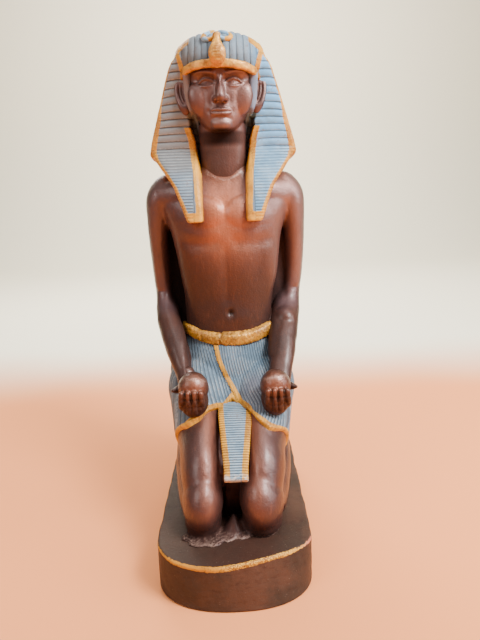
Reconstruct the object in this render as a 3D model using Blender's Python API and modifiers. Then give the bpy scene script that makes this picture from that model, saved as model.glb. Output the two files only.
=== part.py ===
"""A kneeling pharaoh that holds out two round jars, cast in one piece with its plinth.

Run with: blender --background --python part.py
Metres, +Z up. The figure faces -Y, and the origin is under the middle of the plinth.
"""

import math

import bmesh
import bpy
from mathutils import Matrix, Vector

# Driving sizes, in metres
FIGURE_HEIGHT = 0.274
PLINTH_HEIGHT = 0.026
PLINTH_FRONT_MARGIN = 0.0200
PLINTH_BACK_MARGIN = 0.0120
PLINTH_SIDE_MARGIN = 0.0055
PLINTH_EDGE_ROUND = 0.0012
PLINTH_CURVE_DEPTH = 0.0290
PLINTH_FULLNESS = 0.85

# The figure's proportions are counted in parts, 274 from its knees' underside to its crown
PART = FIGURE_HEIGHT / 274
KNEE_FRONT = -62.0
TOES_BACK = 70.0
LEG_HALF_WIDTH = 37.0

# The plinth follows the figure's footprint, which is placed so that the plinth is centred
FOOTPRINT_FRONT = KNEE_FRONT * PART - PLINTH_FRONT_MARGIN
FOOTPRINT_BACK = TOES_BACK * PART + PLINTH_BACK_MARGIN
SETBACK = -(FOOTPRINT_FRONT + FOOTPRINT_BACK) / 2
PLINTH_LENGTH = FOOTPRINT_BACK - FOOTPRINT_FRONT
PLINTH_WIDTH = 2 * (LEG_HALF_WIDTH * PART + PLINTH_SIDE_MARGIN)

# The casting's skin: a fine voxel mesh over the forms, eased, then thinned to long facets
SKIN_VOXEL = 1.0 * PART
EASE_STEPS = 5
SKIN_KEEP = 0.028

# Places in parts, shared by forms that meet: x to the side, y backward, z up
BELT_CENTRE_Y = 33.8
BELT_HALF_WIDTH = 31.8
BELT_HALF_DEPTH = 23.4
BELT_FRONT_Z = 89.5
BELT_BACK_RISE = 5.0
BELT_HALF_HEIGHT = 4.3
HEM_SLANT = 0.8
JAR_X = 24.0
JAR_Y = -20.0
JAR_Z = 72.0
JAR_RADIUS = 9.0
FINGERS = 4
FINGER_PITCH = 3.9
FINGER_RADIUS = 2.25
APRON_X = 2.0
WING_SEAM = 6.0

RING_SIDES = 28
STEPS = 6
CIRCLE = 2 * math.pi
BRONZE = (0.095, 0.030, 0.018, 1.0)


def clear_scene():
    """Removes what the startup file holds."""
    for obj in list(bpy.data.objects):
        bpy.data.objects.remove(obj)


def material(name, colour, roughness):
    """A painted finish."""
    made = bpy.data.materials.new(name)
    made.use_nodes = True
    shader = made.node_tree.nodes["Principled BSDF"]
    shader.inputs["Base Color"].default_value = colour
    shader.inputs["Roughness"].default_value = roughness
    made.diffuse_color = colour
    return made


def smooth_stations(stations):
    """Stations along a form, filled in with a Catmull-Rom curve through all their numbers."""
    rows = []
    last = len(stations) - 1
    for i in range(last):
        around = [stations[max(i - 1, 0)], stations[i], stations[i + 1], stations[min(i + 2, last)]]
        for step in range(STEPS):
            rows.append([catmull_rom(numbers, step / STEPS) for numbers in zip(*around)])
    rows.append(list(stations[last]))
    return rows


def catmull_rom(numbers, t):
    p, q, r, s = numbers
    return q + 0.5 * t * (r - p + t * (2 * p - 5 * q + 4 * r - s + t * (3 * (q - r) + s - p)))


def signed_power(value, power):
    return math.copysign(abs(value) ** power, value)


def oval(half_x, half_y, fullness_x, fullness_y, sides=RING_SIDES):
    """Points round an oval; a fullness below 1 squares it."""
    points = []
    for i in range(sides):
        angle = CIRCLE * i / sides
        x = half_x * signed_power(math.cos(angle), fullness_x)
        points.append((x, half_y * signed_power(math.sin(angle), fullness_y)))
    return points


def add_loft(stock, rings):
    """A closed shell over rings of equally many points, capped at both ends."""
    rows = [[stock.verts.new(point) for point in ring] for ring in rings]
    count = len(rows[0])
    for low, high in zip(rows, rows[1:]):
        for i in range(count):
            j = (i + 1) % count
            stock.faces.new((low[i], low[j], high[j], high[i]))
    for row in (rows[0], rows[-1]):
        middle = stock.verts.new(sum((v.co for v in row), Vector()) / count)
        for i in range(count):
            stock.faces.new((row[i], row[(i + 1) % count], middle))


def add_levels(stock, levels, fullness=1.0):
    """A trunk of level sections, each (height, half width, front, back) in parts."""
    rings = []
    for z, half_width, front, back in smooth_stations(levels):
        middle = (front + back) / 2
        outline = oval(half_width, (back - front) / 2, fullness, fullness)
        rings.append([(x, middle + y, z) for x, y in outline])
    add_loft(stock, rings)


def add_limb(stock, stations, side=1, slant=0.0, round_ends=True):
    """A limb along (x, y, z, radius across, radius up) in parts.

    A slant moves the points on the side toward the figure's middle along the limb, by that share of
    their distance from its line.
    """
    rows = smooth_stations(stations)
    points = [Vector((side * row[0], row[1], row[2])) for row in rows]
    last = len(points) - 1
    rings = []
    for i, (_, _, _, radius_across, radius_up) in enumerate(rows):
        ahead = points[min(i + 1, last)] - points[max(i - 1, 0)]
        ahead.normalize()
        across = Vector((1, 0, 0)) - ahead * ahead.x
        across.normalize()
        upward = ahead.cross(across)
        outline = oval(radius_across, radius_up, 1.0, 1.0)
        rings.append([
            points[i] + across * a + upward * b + ahead * slant * max(-side * a, 0) for a, b in outline
        ])
    if round_ends:
        shares = (0.35, 0.7, 0.92)
        first_end = [dome(rings[0], rings[1], share) for share in shares]
        last_end = [dome(rings[-1], rings[-2], share) for share in reversed(shares)]
        rings = first_end + rings + last_end
    add_loft(stock, rings)


def dome(ring, inner, share):
    """A smaller ring past the end of a limb, which rounds its cap."""
    middle = sum(ring, Vector()) / len(ring)
    before = sum(inner, Vector()) / len(inner)
    radius = min((point - middle).length for point in ring)
    outward = (middle - before).normalized() * radius * math.sqrt(1 - share * share)
    return [middle + (point - middle) * share + outward for point in ring]


def add_ellipsoid(stock, centre, radii, tilt=0.0, turn=0.0, yaw=0.0):
    """An ellipsoid, tilted about X, then turned about Y and then about Z, in degrees."""
    place = (
        Matrix.Translation(centre)
        @ Matrix.Rotation(math.radians(yaw), 4, "Z")
        @ Matrix.Rotation(math.radians(turn), 4, "Y")
        @ Matrix.Rotation(math.radians(tilt), 4, "X")
        @ Matrix.Diagonal((*radii, 1.0))
    )
    bmesh.ops.create_uvsphere(stock, u_segments=24, v_segments=16, radius=1.0, matrix=place)


def add_slab(stock, rows, side=1):
    """A cloth end with round corners: rows of (inner x, outer x, front y, back y, z)."""
    rings = []
    for inner, outer, front, back, z in smooth_stations(rows):
        outline = oval(abs(outer - inner) / 2, (back - front) / 2, 0.35, 0.55)
        middle_x = side * (inner + outer) / 2
        middle_y = (front + back) / 2
        rings.append([(middle_x + x, middle_y + y, z) for x, y in outline])
    add_loft(stock, rings)


def add_torso(stock):
    """The trunk from the seat to the neck's root, then the masses that lie on it."""
    add_levels(stock, [
        (40, 28, 22, 60), (52, 36, 8, 66), (66, 38, 4, 67), (80, 35, 7, 63), (92, 30.6, 11.5, 56),
        (102, 28.2, 12.6, 53), (117, 27.6, 12.2, 51.5), (132, 29.0, 11.4, 53), (147, 32.0, 10.8, 56.5),
        (160, 35.5, 10.6, 59.5), (172, 40.5, 12.0, 60.5), (181, 43.5, 15.5, 58), (187, 41, 19.5, 55),
        (192, 31, 22, 52), (197, 19.5, 23.0, 50), (204, 14.5, 22.5, 49),
    ], fullness=0.86)
    for side in (-1, 1):
        add_ellipsoid(stock, (15.5 * side, 18.4, 170), (17.5, 7.0, 12.6), tilt=-6, yaw=18 * side)
        add_ellipsoid(stock, (17 * side, 48, 60), (21, 21, 21))
        add_ellipsoid(stock, (17 * side, 50.8, 172), (16, 8, 18), yaw=-20 * side)
        add_limb(stock, [(6, 43, 201, 9, 7), (20, 42, 194.5, 9, 8), (35, 40, 187, 10, 9)], side)
        add_limb(stock, [(14, 25, 178, 8, 9), (27, 26.5, 181, 8, 10), (38, 32, 182, 8, 10)], side)


def add_head(stock):
    """Neck, skull and face, then a nose, lips, chin, eyes, cheeks and ears of plain proportions."""
    add_levels(stock, [
        (185, 14, 20, 50), (196, 13.5, 21, 49), (208, 13, 21, 47), (224, 13.5, 20, 48),
    ])
    add_levels(stock, [
        (218.0, 4, 14.6, 24), (219.4, 7.5, 13.4, 30), (222, 10.6, 12.8, 36), (227, 14.4, 12.9, 44),
        (234, 17.6, 13.0, 48), (242, 19.6, 12.9, 51), (250, 20.4, 12.2, 54), (258, 20.0, 12.0, 55),
        (266, 16, 15, 51), (271, 9, 22, 42),
    ], fullness=0.8)
    add_limb(stock, [
        (0, 13.2, 249, 1.9, 2.4), (0, 11.8, 244.5, 1.8, 2.6), (0, 10.0, 239.5, 2.1, 3.0),
        (0, 8.8, 235.8, 2.7, 3.2),
    ])
    add_ellipsoid(stock, (0, 12.6, 229.4), (6.0, 2.7, 1.5), tilt=-10)
    add_ellipsoid(stock, (0, 12.9, 226.4), (5.2, 2.7, 1.6), tilt=10)
    add_ellipsoid(stock, (0, 14.4, 221.6), (6.4, 3.4, 3.4))
    for side in (-1, 1):
        add_ellipsoid(stock, (2.9 * side, 11.6, 234.9), (2.0, 2.8, 1.9))
        add_ellipsoid(stock, (8.0 * side, 16.5, 243.8), (4.8, 3.6, 2.7))
        add_limb(stock, [
            (2.6, 13.8, 247.6, 1.2, 1.5), (8.0, 13.6, 249.4, 1.2, 1.6), (14.0, 16.2, 248.0, 1.1, 1.4),
        ], side)
        add_ellipsoid(stock, (10.6 * side, 19.4, 236.6), (7.4, 5.2, 8.0))
        add_ellipsoid(stock, (24.2 * side, 25.0, 243.0), (4.6, 3.4, 11.5), tilt=-12, turn=12 * side)


def add_headdress(stock):
    """The striped cloth: dome, wings, brow band, temple tabs, lappets, cobra and tail."""
    add_levels(stock, [
        (250, 24, 10.8, 62), (256, 27.8, 10.0, 62), (260, 28.4, 10.4, 60.5), (264, 26.8, 11.6, 58),
        (268.5, 23.4, 14.2, 52), (272, 17, 18.4, 46), (274, 7, 25, 38),
    ])
    add_wings(stock)
    add_limb(stock, [
        (-24.0, 30, 248.0, 2.4, 1.8), (-21.6, 22, 250.0, 2.4, 2.0), (-18.4, 15.8, 251.6, 2.6, 2.1),
        (-11, 11.4, 253.2, 2.6, 2.1), (0, 10.4, 254.0, 2.6, 2.1), (11, 11.4, 253.2, 2.6, 2.1),
        (18.4, 15.8, 251.6, 2.6, 2.1), (21.6, 22, 250.0, 2.4, 2.0), (24.0, 30, 248.0, 2.4, 1.8),
    ])
    for side in (-1, 1):
        add_limb(stock, [
            (19.2, 18.6, 251, 2.8, 1.6), (19.0, 19.4, 243, 2.8, 1.6), (17.4, 20.0, 233, 2.6, 1.6),
            (14.0, 20.4, 225, 2.0, 1.4),
        ], side)
        add_slab(stock, [
            (15.0, 41.0, 30.0, 42.0, 215), (14.0, 43.4, 26.0, 40.0, 208.5), (13.8, 42.2, 22.6, 37.0, 204),
            (13.6, 36.8, 16.4, 36.0, 196),
            (13.2, 30.4, 11.0, 25.0, 186.5), (13.0, 26.0, 7.2, 19.0, 175.5), (13.0, 22.8, 5.6, 16.0, 167),
            (13.8, 21.8, 5.6, 15.0, 165.8),
        ], side)
    add_slab(stock, [
        (-8.5, 8.5, 54.0, 67.5, 206), (-7.6, 7.6, 53.0, 67.0, 192), (-6.0, 6.0, 50.0, 65.4, 172),
        (-4.8, 4.8, 46.0, 62.0, 152), (-4.2, 4.2, 46.0, 60.5, 150.4),
    ])
    add_cobra(stock)


def add_wings(stock):
    """The cloth that flares behind the ears: flat in front, round behind."""
    levels = [
        (193, 24, 33, 60), (198, 34, 30, 63), (202.5, 41.8, 27.8, 64.5), (206.5, 45.4, 26.8, 65),
        (211, 45.0, 26.2, 65), (219, 42.8, 25.6, 64.5), (232, 38.6, 24.8, 64), (246, 34, 23.6, 63),
        (256, 30, 21, 62), (262, 25, 22, 58), (266, 18, 26, 50),
    ]
    rings = []
    for z, half_width, front, back in smooth_stations(levels):
        seam = front + WING_SEAM
        ring = []
        for x, y in oval(half_width, 1.0, 1.0, 1.0, sides=2 * RING_SIDES):
            depth = (back - seam) * y if y > 0 else WING_SEAM * signed_power(y, 0.35)
            ring.append((x, seam + depth, z))
        rings.append(ring)
    add_loft(stock, rings)


def add_cobra(stock):
    """The hood that rears over the brow, and the body coiled behind it."""
    add_limb(stock, [
        (0, 9.4, 252.2, 3.0, 2.0), (0, 7.2, 255, 4.5, 2.7), (0, 7.4, 259, 3.7, 2.5),
        (0, 8.8, 263.2, 2.3, 2.2), (0, 9.6, 266.4, 2.4, 2.3),
    ])
    for side in (-1, 1):
        add_limb(stock, [
            (2.0, 13.0, 267.0, 1.7, 1.7), (5.2, 13.6, 266.5, 1.8, 1.8), (6.0, 15.0, 268.8, 1.8, 1.8),
            (2.4, 18.0, 271.0, 1.7, 1.7),
        ], side)


def add_arm(stock, side):
    """Shoulder, upper arm and forearm, and the recessed web that joins the arm to the trunk."""
    add_limb(stock, [
        (36.5, 37, 185.5, 10.8, 12), (41.6, 37.5, 180, 9.6, 12.4), (44.0, 38.5, 167, 7.6, 11),
        (45.0, 40.5, 148, 6.4, 9.2), (44.6, 42, 131, 6.0, 8.4), (43.4, 41.5, 118, 6.3, 8.3),
        (42.0, 36, 109, 7.3, 8.0), (39.8, 26, 101, 7.8, 7.8), (34.6, 9, 87.5, 7.8, 7.2),
        (30.4, -3, 77.5, 6.2, 5.6), (28.0, -10, 72.0, 6.2, 4.8),
    ], side)
    add_limb(stock, [
        (31.0, 43, 178, 13, 7), (32.0, 43, 150, 12, 4.5), (32.0, 43, 122, 12, 4.5), (32.0, 38, 98, 10, 6),
        (31.0, 22, 80, 7, 9), (29.0, 4, 70, 5.5, 9), (27.0, -8, 62, 5, 7),
    ], side)


def add_jar_and_hand(stock, side):
    """A round jar on an open palm, with the fingers curled up in front and the thumb outside."""
    add_ellipsoid(stock, (JAR_X * side, JAR_Y, JAR_Z), (JAR_RADIUS, JAR_RADIUS, JAR_RADIUS + 0.6))
    add_limb(stock, [
        (28.0, -6, 70, 6.2, 5.0), (25.4, -14, 64.2, 8.2, 5.4), (JAR_X, -22, 62.6, 8.0, 5.2),
    ], side)
    for finger in range(FINGERS):
        x = JAR_X + (finger - (FINGERS - 1) / 2) * FINGER_PITCH
        tip = 73.5 - 1.2 * abs(finger - 1.2)
        lean = 0.25 * (JAR_X - x)
        add_limb(stock, [
            (x, -18, 60.0, FINGER_RADIUS, 2.8), (x, -25, 60.4, FINGER_RADIUS, 2.8),
            (x + lean / 2, -29.0, 65.0, FINGER_RADIUS, 2.5), (x + lean, -29.4, tip, 2.2, 2.0),
        ], side)
    add_limb(stock, [
        (30.4, -10, 67, 3.2, 3.2), (33.2, -15, 71.0, 2.8, 2.8), (34.6, -20, 73.5, 2.0, 2.0),
    ], side)


def add_leg(stock, side):
    """A folded leg: thigh, knee, shin rising to the ankle, and the foot on its tucked toes."""
    add_limb(stock, [
        (17.0, -47.5, 21.5, 11.6, 14.6), (18.2, -38, 29.2, 12.0, 15.6), (19.2, -22, 38.2, 12.6, 15.9),
        (20.0, 0, 49.5, 16.6, 17.2), (20.5, 20, 60, 19.0, 19), (19.5, 38, 65, 18, 19),
    ], side)
    add_ellipsoid(stock, (17.1 * side, -48.8, 17.0), (11.4, 13.2, 17.4), tilt=-12)
    add_ellipsoid(stock, (17.4 * side, -47.0, 6.0), (10.6, 12.4, 14.0))
    add_limb(stock, [
        (18.5, -44, 12.0, 11.0, 12), (20.6, -30, 13.5, 12.2, 13), (22.6, -8, 19.5, 13.6, 14),
        (23.0, 16, 25, 13.6, 15), (22.0, 36, 29, 11.6, 13.5), (20.8, 50, 32, 9.4, 11),
    ], side)
    add_slab(stock, [
        (6, 27, -46, 58, -2.0), (8, 28, -44, 59, 8.0), (9, 29, -30, 60, 18.0), (10, 29, 0, 60, 28.0),
    ], side)
    add_limb(stock, [
        (20.4, 57, 46, 8.8, 8), (20.6, 58.5, 36, 9.2, 10), (20.8, 61, 22, 10.2, 8),
        (20.8, 61.5, 10, 11.2, 7.4), (20.8, 55, 4.5, 11.4, 5.4), (20.8, 46, 3, 11.0, 4.4),
    ], side)


def add_kilt(stock):
    """The wrapped kilt over seat, lap and thighs, slanting at its hem, and the belt round its top."""
    for side in (-1, 1):
        add_limb(stock, [
            (19.4, -23.0, 38.5, 13.8, 17.3), (19.8, -10, 45.4, 16.2, 18.5), (20.2, 6, 53.2, 19.2, 19.8),
            (21.0, 20, 60, 21.0, 21), (20.0, 44, 62, 19.0, 19),
        ], side, slant=HEM_SLANT, round_ends=False)
    add_limb(stock, [(0, -2, 51.6, 18, 9), (0, 8, 57, 26, 12.4), (0, 22, 66, 28, 18)])
    add_levels(stock, [
        (50, 38, 4, 70), (58, 41.4, 3, 70.5), (66, 42.4, 2.6, 70), (74, 41.0, 4, 67.5),
        (82, 37.6, 7, 62.5), (90, 33.4, 10, 58.0),
    ])
    add_belt(stock)


def add_belt(stock):
    """A flat band that dips in front."""
    rings = []
    for dz, grow in ((-1.0, -0.6), (-0.9, 1.3), (0.0, 1.8), (0.9, 1.2), (1.0, -1.0)):
        outline = oval(BELT_HALF_WIDTH + grow, BELT_HALF_DEPTH + grow, 0.92, 0.92, sides=2 * RING_SIDES)
        ring = []
        for x, y in outline:
            back_share = (1 + y / BELT_HALF_DEPTH) / 2
            z = BELT_FRONT_Z + BELT_BACK_RISE * back_share + dz * BELT_HALF_HEIGHT
            ring.append((x, BELT_CENTRE_Y + y, z))
        rings.append(ring)
    add_loft(stock, rings)


def add_apron(stock):
    """The striped panel from the kilt's crossing to its end between the knees, and the fill behind."""
    add_slab(stock, [
        (APRON_X - 10.6, APRON_X + 10.6, -13.6, -3.0, 59.0),
        (APRON_X - 10.0, APRON_X + 10.0, -24.0, -13.0, 53.2),
        (APRON_X - 9.0, APRON_X + 9.0, -36.0, -25.0, 46.6),
        (APRON_X - 8.0, APRON_X + 8.0, -47.0, -37.0, 40.4),
        (APRON_X - 7.0, APRON_X + 7.0, -57.0, -46.0, 34.8),
        (APRON_X - 6.7, APRON_X + 6.7, -57.4, -47.0, 33.4),
    ])
    add_slab(stock, [
        (-8.0, 8.0, -40.0, 50.0, -2.0), (-8.0, 8.0, -41.0, 54.0, 16.0), (-9.0, 9.0, -44.0, 54.0, 32.0),
        (-10.0, 10.0, -32.0, 50.0, 42.0), (-11.0, 11.0, -8.0, 50.0, 54.0),
    ])
    add_limb(stock, [(0, -53, -3.0, 12, 7), (0, -52, 1.0, 7, 5), (0, -50, 7.0, 2.4, 2.6)])


def figure_stock():
    """All the figure's forms as closed shells that run into one another, in parts."""
    stock = bmesh.new()
    add_torso(stock)
    add_head(stock)
    add_headdress(stock)
    add_kilt(stock)
    add_apron(stock)
    for side in (-1, 1):
        add_arm(stock, side)
        add_jar_and_hand(stock, side)
        add_leg(stock, side)
    bmesh.ops.recalc_face_normals(stock, faces=stock.faces)
    return stock


def make_figure(collection):
    """The figure's forms under one casting skin."""
    stock = figure_stock()
    stock.transform(Matrix.Scale(PART, 4))
    mesh = bpy.data.meshes.new("pharaoh_statue")
    stock.to_mesh(mesh)
    stock.free()
    figure = bpy.data.objects.new("pharaoh_statue", mesh)
    figure.location = (0, SETBACK, PLINTH_HEIGHT)
    collection.objects.link(figure)
    skin = figure.modifiers.new("casting_skin", "REMESH")
    skin.mode = "VOXEL"
    skin.voxel_size = SKIN_VOXEL
    ease = figure.modifiers.new("eased_hollows", "SMOOTH")
    ease.factor = 0.5
    ease.iterations = EASE_STEPS
    thin = figure.modifiers.new("long_facets", "DECIMATE")
    thin.ratio = SKIN_KEEP
    return figure


def plinth_outline():
    """Half an oval at the front and half at the back, joined by straight sides."""
    steps = 20
    points = []
    for sign in (-1, 1):
        middle = sign * (PLINTH_LENGTH / 2 - PLINTH_CURVE_DEPTH)
        for i in range(steps + 1):
            angle = math.pi * i / steps
            x = sign * PLINTH_WIDTH / 2 * signed_power(math.cos(angle), PLINTH_FULLNESS)
            y = middle + sign * PLINTH_CURVE_DEPTH * signed_power(math.sin(angle), PLINTH_FULLNESS)
            points.append((x, y))
    return points


def make_plinth(collection):
    """The plinth's outline as a curve, raised to its height with rounded edges."""
    curve = bpy.data.curves.new("plinth_outline", "CURVE")
    curve.dimensions = "2D"
    curve.fill_mode = "BOTH"
    curve.extrude = PLINTH_HEIGHT / 2 - PLINTH_EDGE_ROUND
    curve.bevel_depth = PLINTH_EDGE_ROUND
    curve.bevel_resolution = 1
    curve.offset = -PLINTH_EDGE_ROUND
    outline = plinth_outline()
    spline = curve.splines.new("POLY")
    spline.points.add(len(outline) - 1)
    for point, (x, y) in zip(spline.points, outline):
        point.co = (x, y, 0, 1)
    spline.use_cyclic_u = True
    shape = bpy.data.objects.new("plinth_shape", curve)
    shape.location = (0, 0, PLINTH_HEIGHT / 2)
    collection.objects.link(shape)
    return shape


def to_mesh_object(curve_object, name, collection):
    """The curve's solid as a mesh object in the same place, with its caps welded."""
    bpy.context.view_layer.update()
    graph = bpy.context.evaluated_depsgraph_get()
    mesh = bpy.data.meshes.new_from_object(curve_object.evaluated_get(graph))
    solid = bmesh.new()
    solid.from_mesh(mesh)
    bmesh.ops.remove_doubles(solid, verts=solid.verts, dist=1e-5)
    bmesh.ops.recalc_face_normals(solid, faces=solid.faces)
    solid.to_mesh(mesh)
    solid.free()
    made = bpy.data.objects.new(name, mesh)
    made.matrix_world = curve_object.matrix_world
    collection.objects.link(made)
    bpy.data.objects.remove(curve_object)
    return made


def main():
    clear_scene()
    statue_parts = bpy.data.collections.new("pharaoh_statue")
    helpers = bpy.data.collections.new("joined_shapes")
    for collection in (statue_parts, helpers):
        bpy.context.scene.collection.children.link(collection)
    plinth = to_mesh_object(make_plinth(helpers), "plinth_shape", helpers)
    plinth.hide_render = True
    plinth.display_type = "WIRE"
    figure = make_figure(statue_parts)
    join = figure.modifiers.new("cast_with_plinth", "BOOLEAN")
    join.operation = "UNION"
    join.object = plinth
    figure.data.materials.append(material("bronze_paint", BRONZE, 0.42))


main()
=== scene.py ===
"""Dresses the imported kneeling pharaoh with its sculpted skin, painted cloth, jars and plinth.

Sculpting is done in parts, one part being a millimetre at the statue's full size: x to the figure's
left, y backward and z above the plinth's top. Finished meshes are in metres, in the row's frame.
"""

from __future__ import annotations

import logging
import math
from dataclasses import dataclass, field
from enum import Enum

import bmesh
import bpy
import numpy as np
from mathutils import Euler, Matrix, Vector
from mathutils.bvhtree import BVHTree
from mathutils.kdtree import KDTree

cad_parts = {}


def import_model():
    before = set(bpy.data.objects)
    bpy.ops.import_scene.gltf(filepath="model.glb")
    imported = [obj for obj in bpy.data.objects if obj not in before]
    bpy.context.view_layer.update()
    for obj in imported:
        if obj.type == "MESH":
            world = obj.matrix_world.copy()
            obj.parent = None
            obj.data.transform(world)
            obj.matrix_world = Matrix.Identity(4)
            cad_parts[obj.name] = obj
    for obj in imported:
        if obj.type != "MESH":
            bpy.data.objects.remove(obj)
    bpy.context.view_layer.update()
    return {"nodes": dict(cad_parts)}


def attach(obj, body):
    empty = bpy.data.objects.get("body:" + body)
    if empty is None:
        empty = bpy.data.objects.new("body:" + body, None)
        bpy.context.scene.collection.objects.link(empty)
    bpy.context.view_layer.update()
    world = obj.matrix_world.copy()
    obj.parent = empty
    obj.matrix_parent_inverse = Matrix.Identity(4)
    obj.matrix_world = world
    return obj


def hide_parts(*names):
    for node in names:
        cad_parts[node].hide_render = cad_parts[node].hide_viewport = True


Row = tuple[float, ...]
Rows = tuple[Row, ...]
Table = tuple[tuple[float, float], ...]
Colour = tuple[float, float, float]

PART = 0.001
PLINTH_TOP = 0.026
NODE = "pharaoh_statue"
BODY = "root"
CIRCLE = 2 * math.pi
SIDES = (-1, 1)
OUTSIDE = -9.0  # how deep inside a border a place lies where there is no border
LOG = logging.getLogger("pharaoh")

# How far the forearms and hands lean to the figure's left, as (place along y, lean).
LEFT_LEAN: Table = ((-8.0, 2.4), (0.0, 1.1), (9.0, -0.6), (26.0, -1.6), (44.0, -1.2))
RIGHT_LEAN: Table = ((-8.0, 2.4), (8.0, 1.7), (26.0, 0.0))


class Slot(Enum):
    """The record's material slots."""

    BRONZE = "bronze_paint"
    BLUE = "blue_paint"
    GOLD = "gold_paint"


# ---------------------------------------------------------------- shader maths


class Value:
    """What flows out of a node's socket, with Python's operators for sums on numbers."""

    def __init__(self, graph: Graph, socket: bpy.types.NodeSocket) -> None:
        """Keeps the socket and the graph that it belongs to."""
        self.graph = graph
        self.socket = socket

    def math(self, kind: str, first: Value | float, second: Value | float = 0.0) -> Value:
        """A Math node on two numbers."""
        return self.graph.node("ShaderNodeMath", {0: first, 1: second}, operation=kind)

    def __add__(self, other: Value | float) -> Value:
        """Sum."""
        return self.math("ADD", self, other)

    __radd__ = __add__

    def __sub__(self, other: Value | float) -> Value:
        """Difference."""
        return self.math("SUBTRACT", self, other)

    def __rsub__(self, other: float) -> Value:
        """Difference from a number."""
        return self.math("SUBTRACT", other, self)

    def __mul__(self, other: Value | float) -> Value:
        """Product."""
        return self.math("MULTIPLY", self, other)

    __rmul__ = __mul__

    def fraction(self) -> Value:
        """What is left past the whole number."""
        return self.math("FRACT", self)

    def size(self) -> Value:
        """The number without its sign."""
        return self.math("ABSOLUTE", self)

    def ease(self, start: float, end: float) -> Value:
        """A smooth step: 0 at start, 1 at end, either way round.

        Args:
            start: The number that gives 0.
            end: The number that gives 1.

        Returns:
            The eased number.
        """
        low, high = min(start, end), max(start, end)
        ends = (0.0, 1.0) if start < end else (1.0, 0.0)
        values = {"Value": self, "From Min": low, "From Max": high, "To Min": ends[0], "To Max": ends[1]}
        return self.graph.node("ShaderNodeMapRange", values, interpolation_type="SMOOTHSTEP")


class Graph:
    """A material's nodes, around one Principled shader."""

    def __init__(self, name: str) -> None:
        """Starts a material that holds its shader alone."""
        self.material = bpy.data.materials.new(name)
        self.material.use_nodes = True
        self.tree = self.material.node_tree
        self.shader = self.tree.nodes["Principled BSDF"]
        self.places = self.node("ShaderNodeTexCoord", out="Object")

    def feed(self, socket: bpy.types.NodeSocket, value: Value | float | Row) -> None:
        """Links a value to a socket, or sets the socket to a number or colour.

        Args:
            socket: The input socket.
            value: What it takes; a colour may leave out its alpha.
        """
        if isinstance(value, Value):
            self.tree.links.new(value.socket, socket)
        elif isinstance(value, tuple) and len(value) < len(socket.default_value):
            socket.default_value = (*value, 1.0)
        else:
            socket.default_value = value

    def node(self, kind: str, values: dict | None = None, out: int | str = 0, **settings: object) -> Value:
        """Adds a node of any type.

        Args:
            kind: The node's type.
            values: What its input sockets take, by name or number.
            out: The output socket to return.
            **settings: The node's own settings, which are set first.

        Returns:
            The value of its output.
        """
        made = self.tree.nodes.new(kind)
        for name, setting in settings.items():
            setattr(made, name, setting)
        for name, value in (values or {}).items():
            self.feed(made.inputs[name], value)
        return Value(self, made.outputs[out])

    def mark(self, name: str) -> Value:
        """A number stored on the piece's vertices."""
        return self.node("ShaderNodeAttribute", out="Fac", attribute_name=name)

    def noise(self, scale: float | Row, detail: float = 2.0, roughness: float = 0.5) -> Value:
        """Noise over the piece, from about 0.3 to 0.7, with its scale in waves to the metre.

        Args:
            scale: One scale, or one for each axis.
            detail: How many finer layers it has.
            roughness: How strong the finer layers are.

        Returns:
            The noise.
        """
        if isinstance(scale, tuple):
            where = self.node("ShaderNodeVectorMath", {0: self.places, 1: scale}, operation="MULTIPLY")
            scale = 1.0
        else:
            where = self.places
        values = {"Vector": where, "Scale": scale, "Detail": detail, "Roughness": roughness}
        return self.node("ShaderNodeTexNoise", values)

    def mix(self, share: Value | float, first: Value | Colour, second: Value | Colour) -> Value:
        """One colour laid over another by a share from 0 to 1."""
        return self.node("ShaderNodeMix", {0: share, 6: first, 7: second}, out=2, data_type="RGBA")

    def surface(self, colour: Value, roughness: Value, height: Value, depth: float) -> None:
        """Feeds the shader's colour and roughness, and its normal from a height in metres times depth.

        Args:
            colour: The base colour.
            roughness: The roughness.
            height: The relief, about 1 high.
            depth: The relief's height in metres.
        """
        bump = {"Strength": 1.0, "Distance": depth, "Height": height}
        self.feed(self.shader.inputs["Base Color"], colour)
        self.feed(self.shader.inputs["Roughness"], roughness)
        self.feed(self.shader.inputs["Normal"], self.node("ShaderNodeBump", bump))

    def set(self, name: str, value: Value | float | Row) -> None:
        """Sets or feeds one of the shader's own sockets."""
        self.feed(self.shader.inputs[name], value)


# ---------------------------------------------------------------- paints


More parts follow.
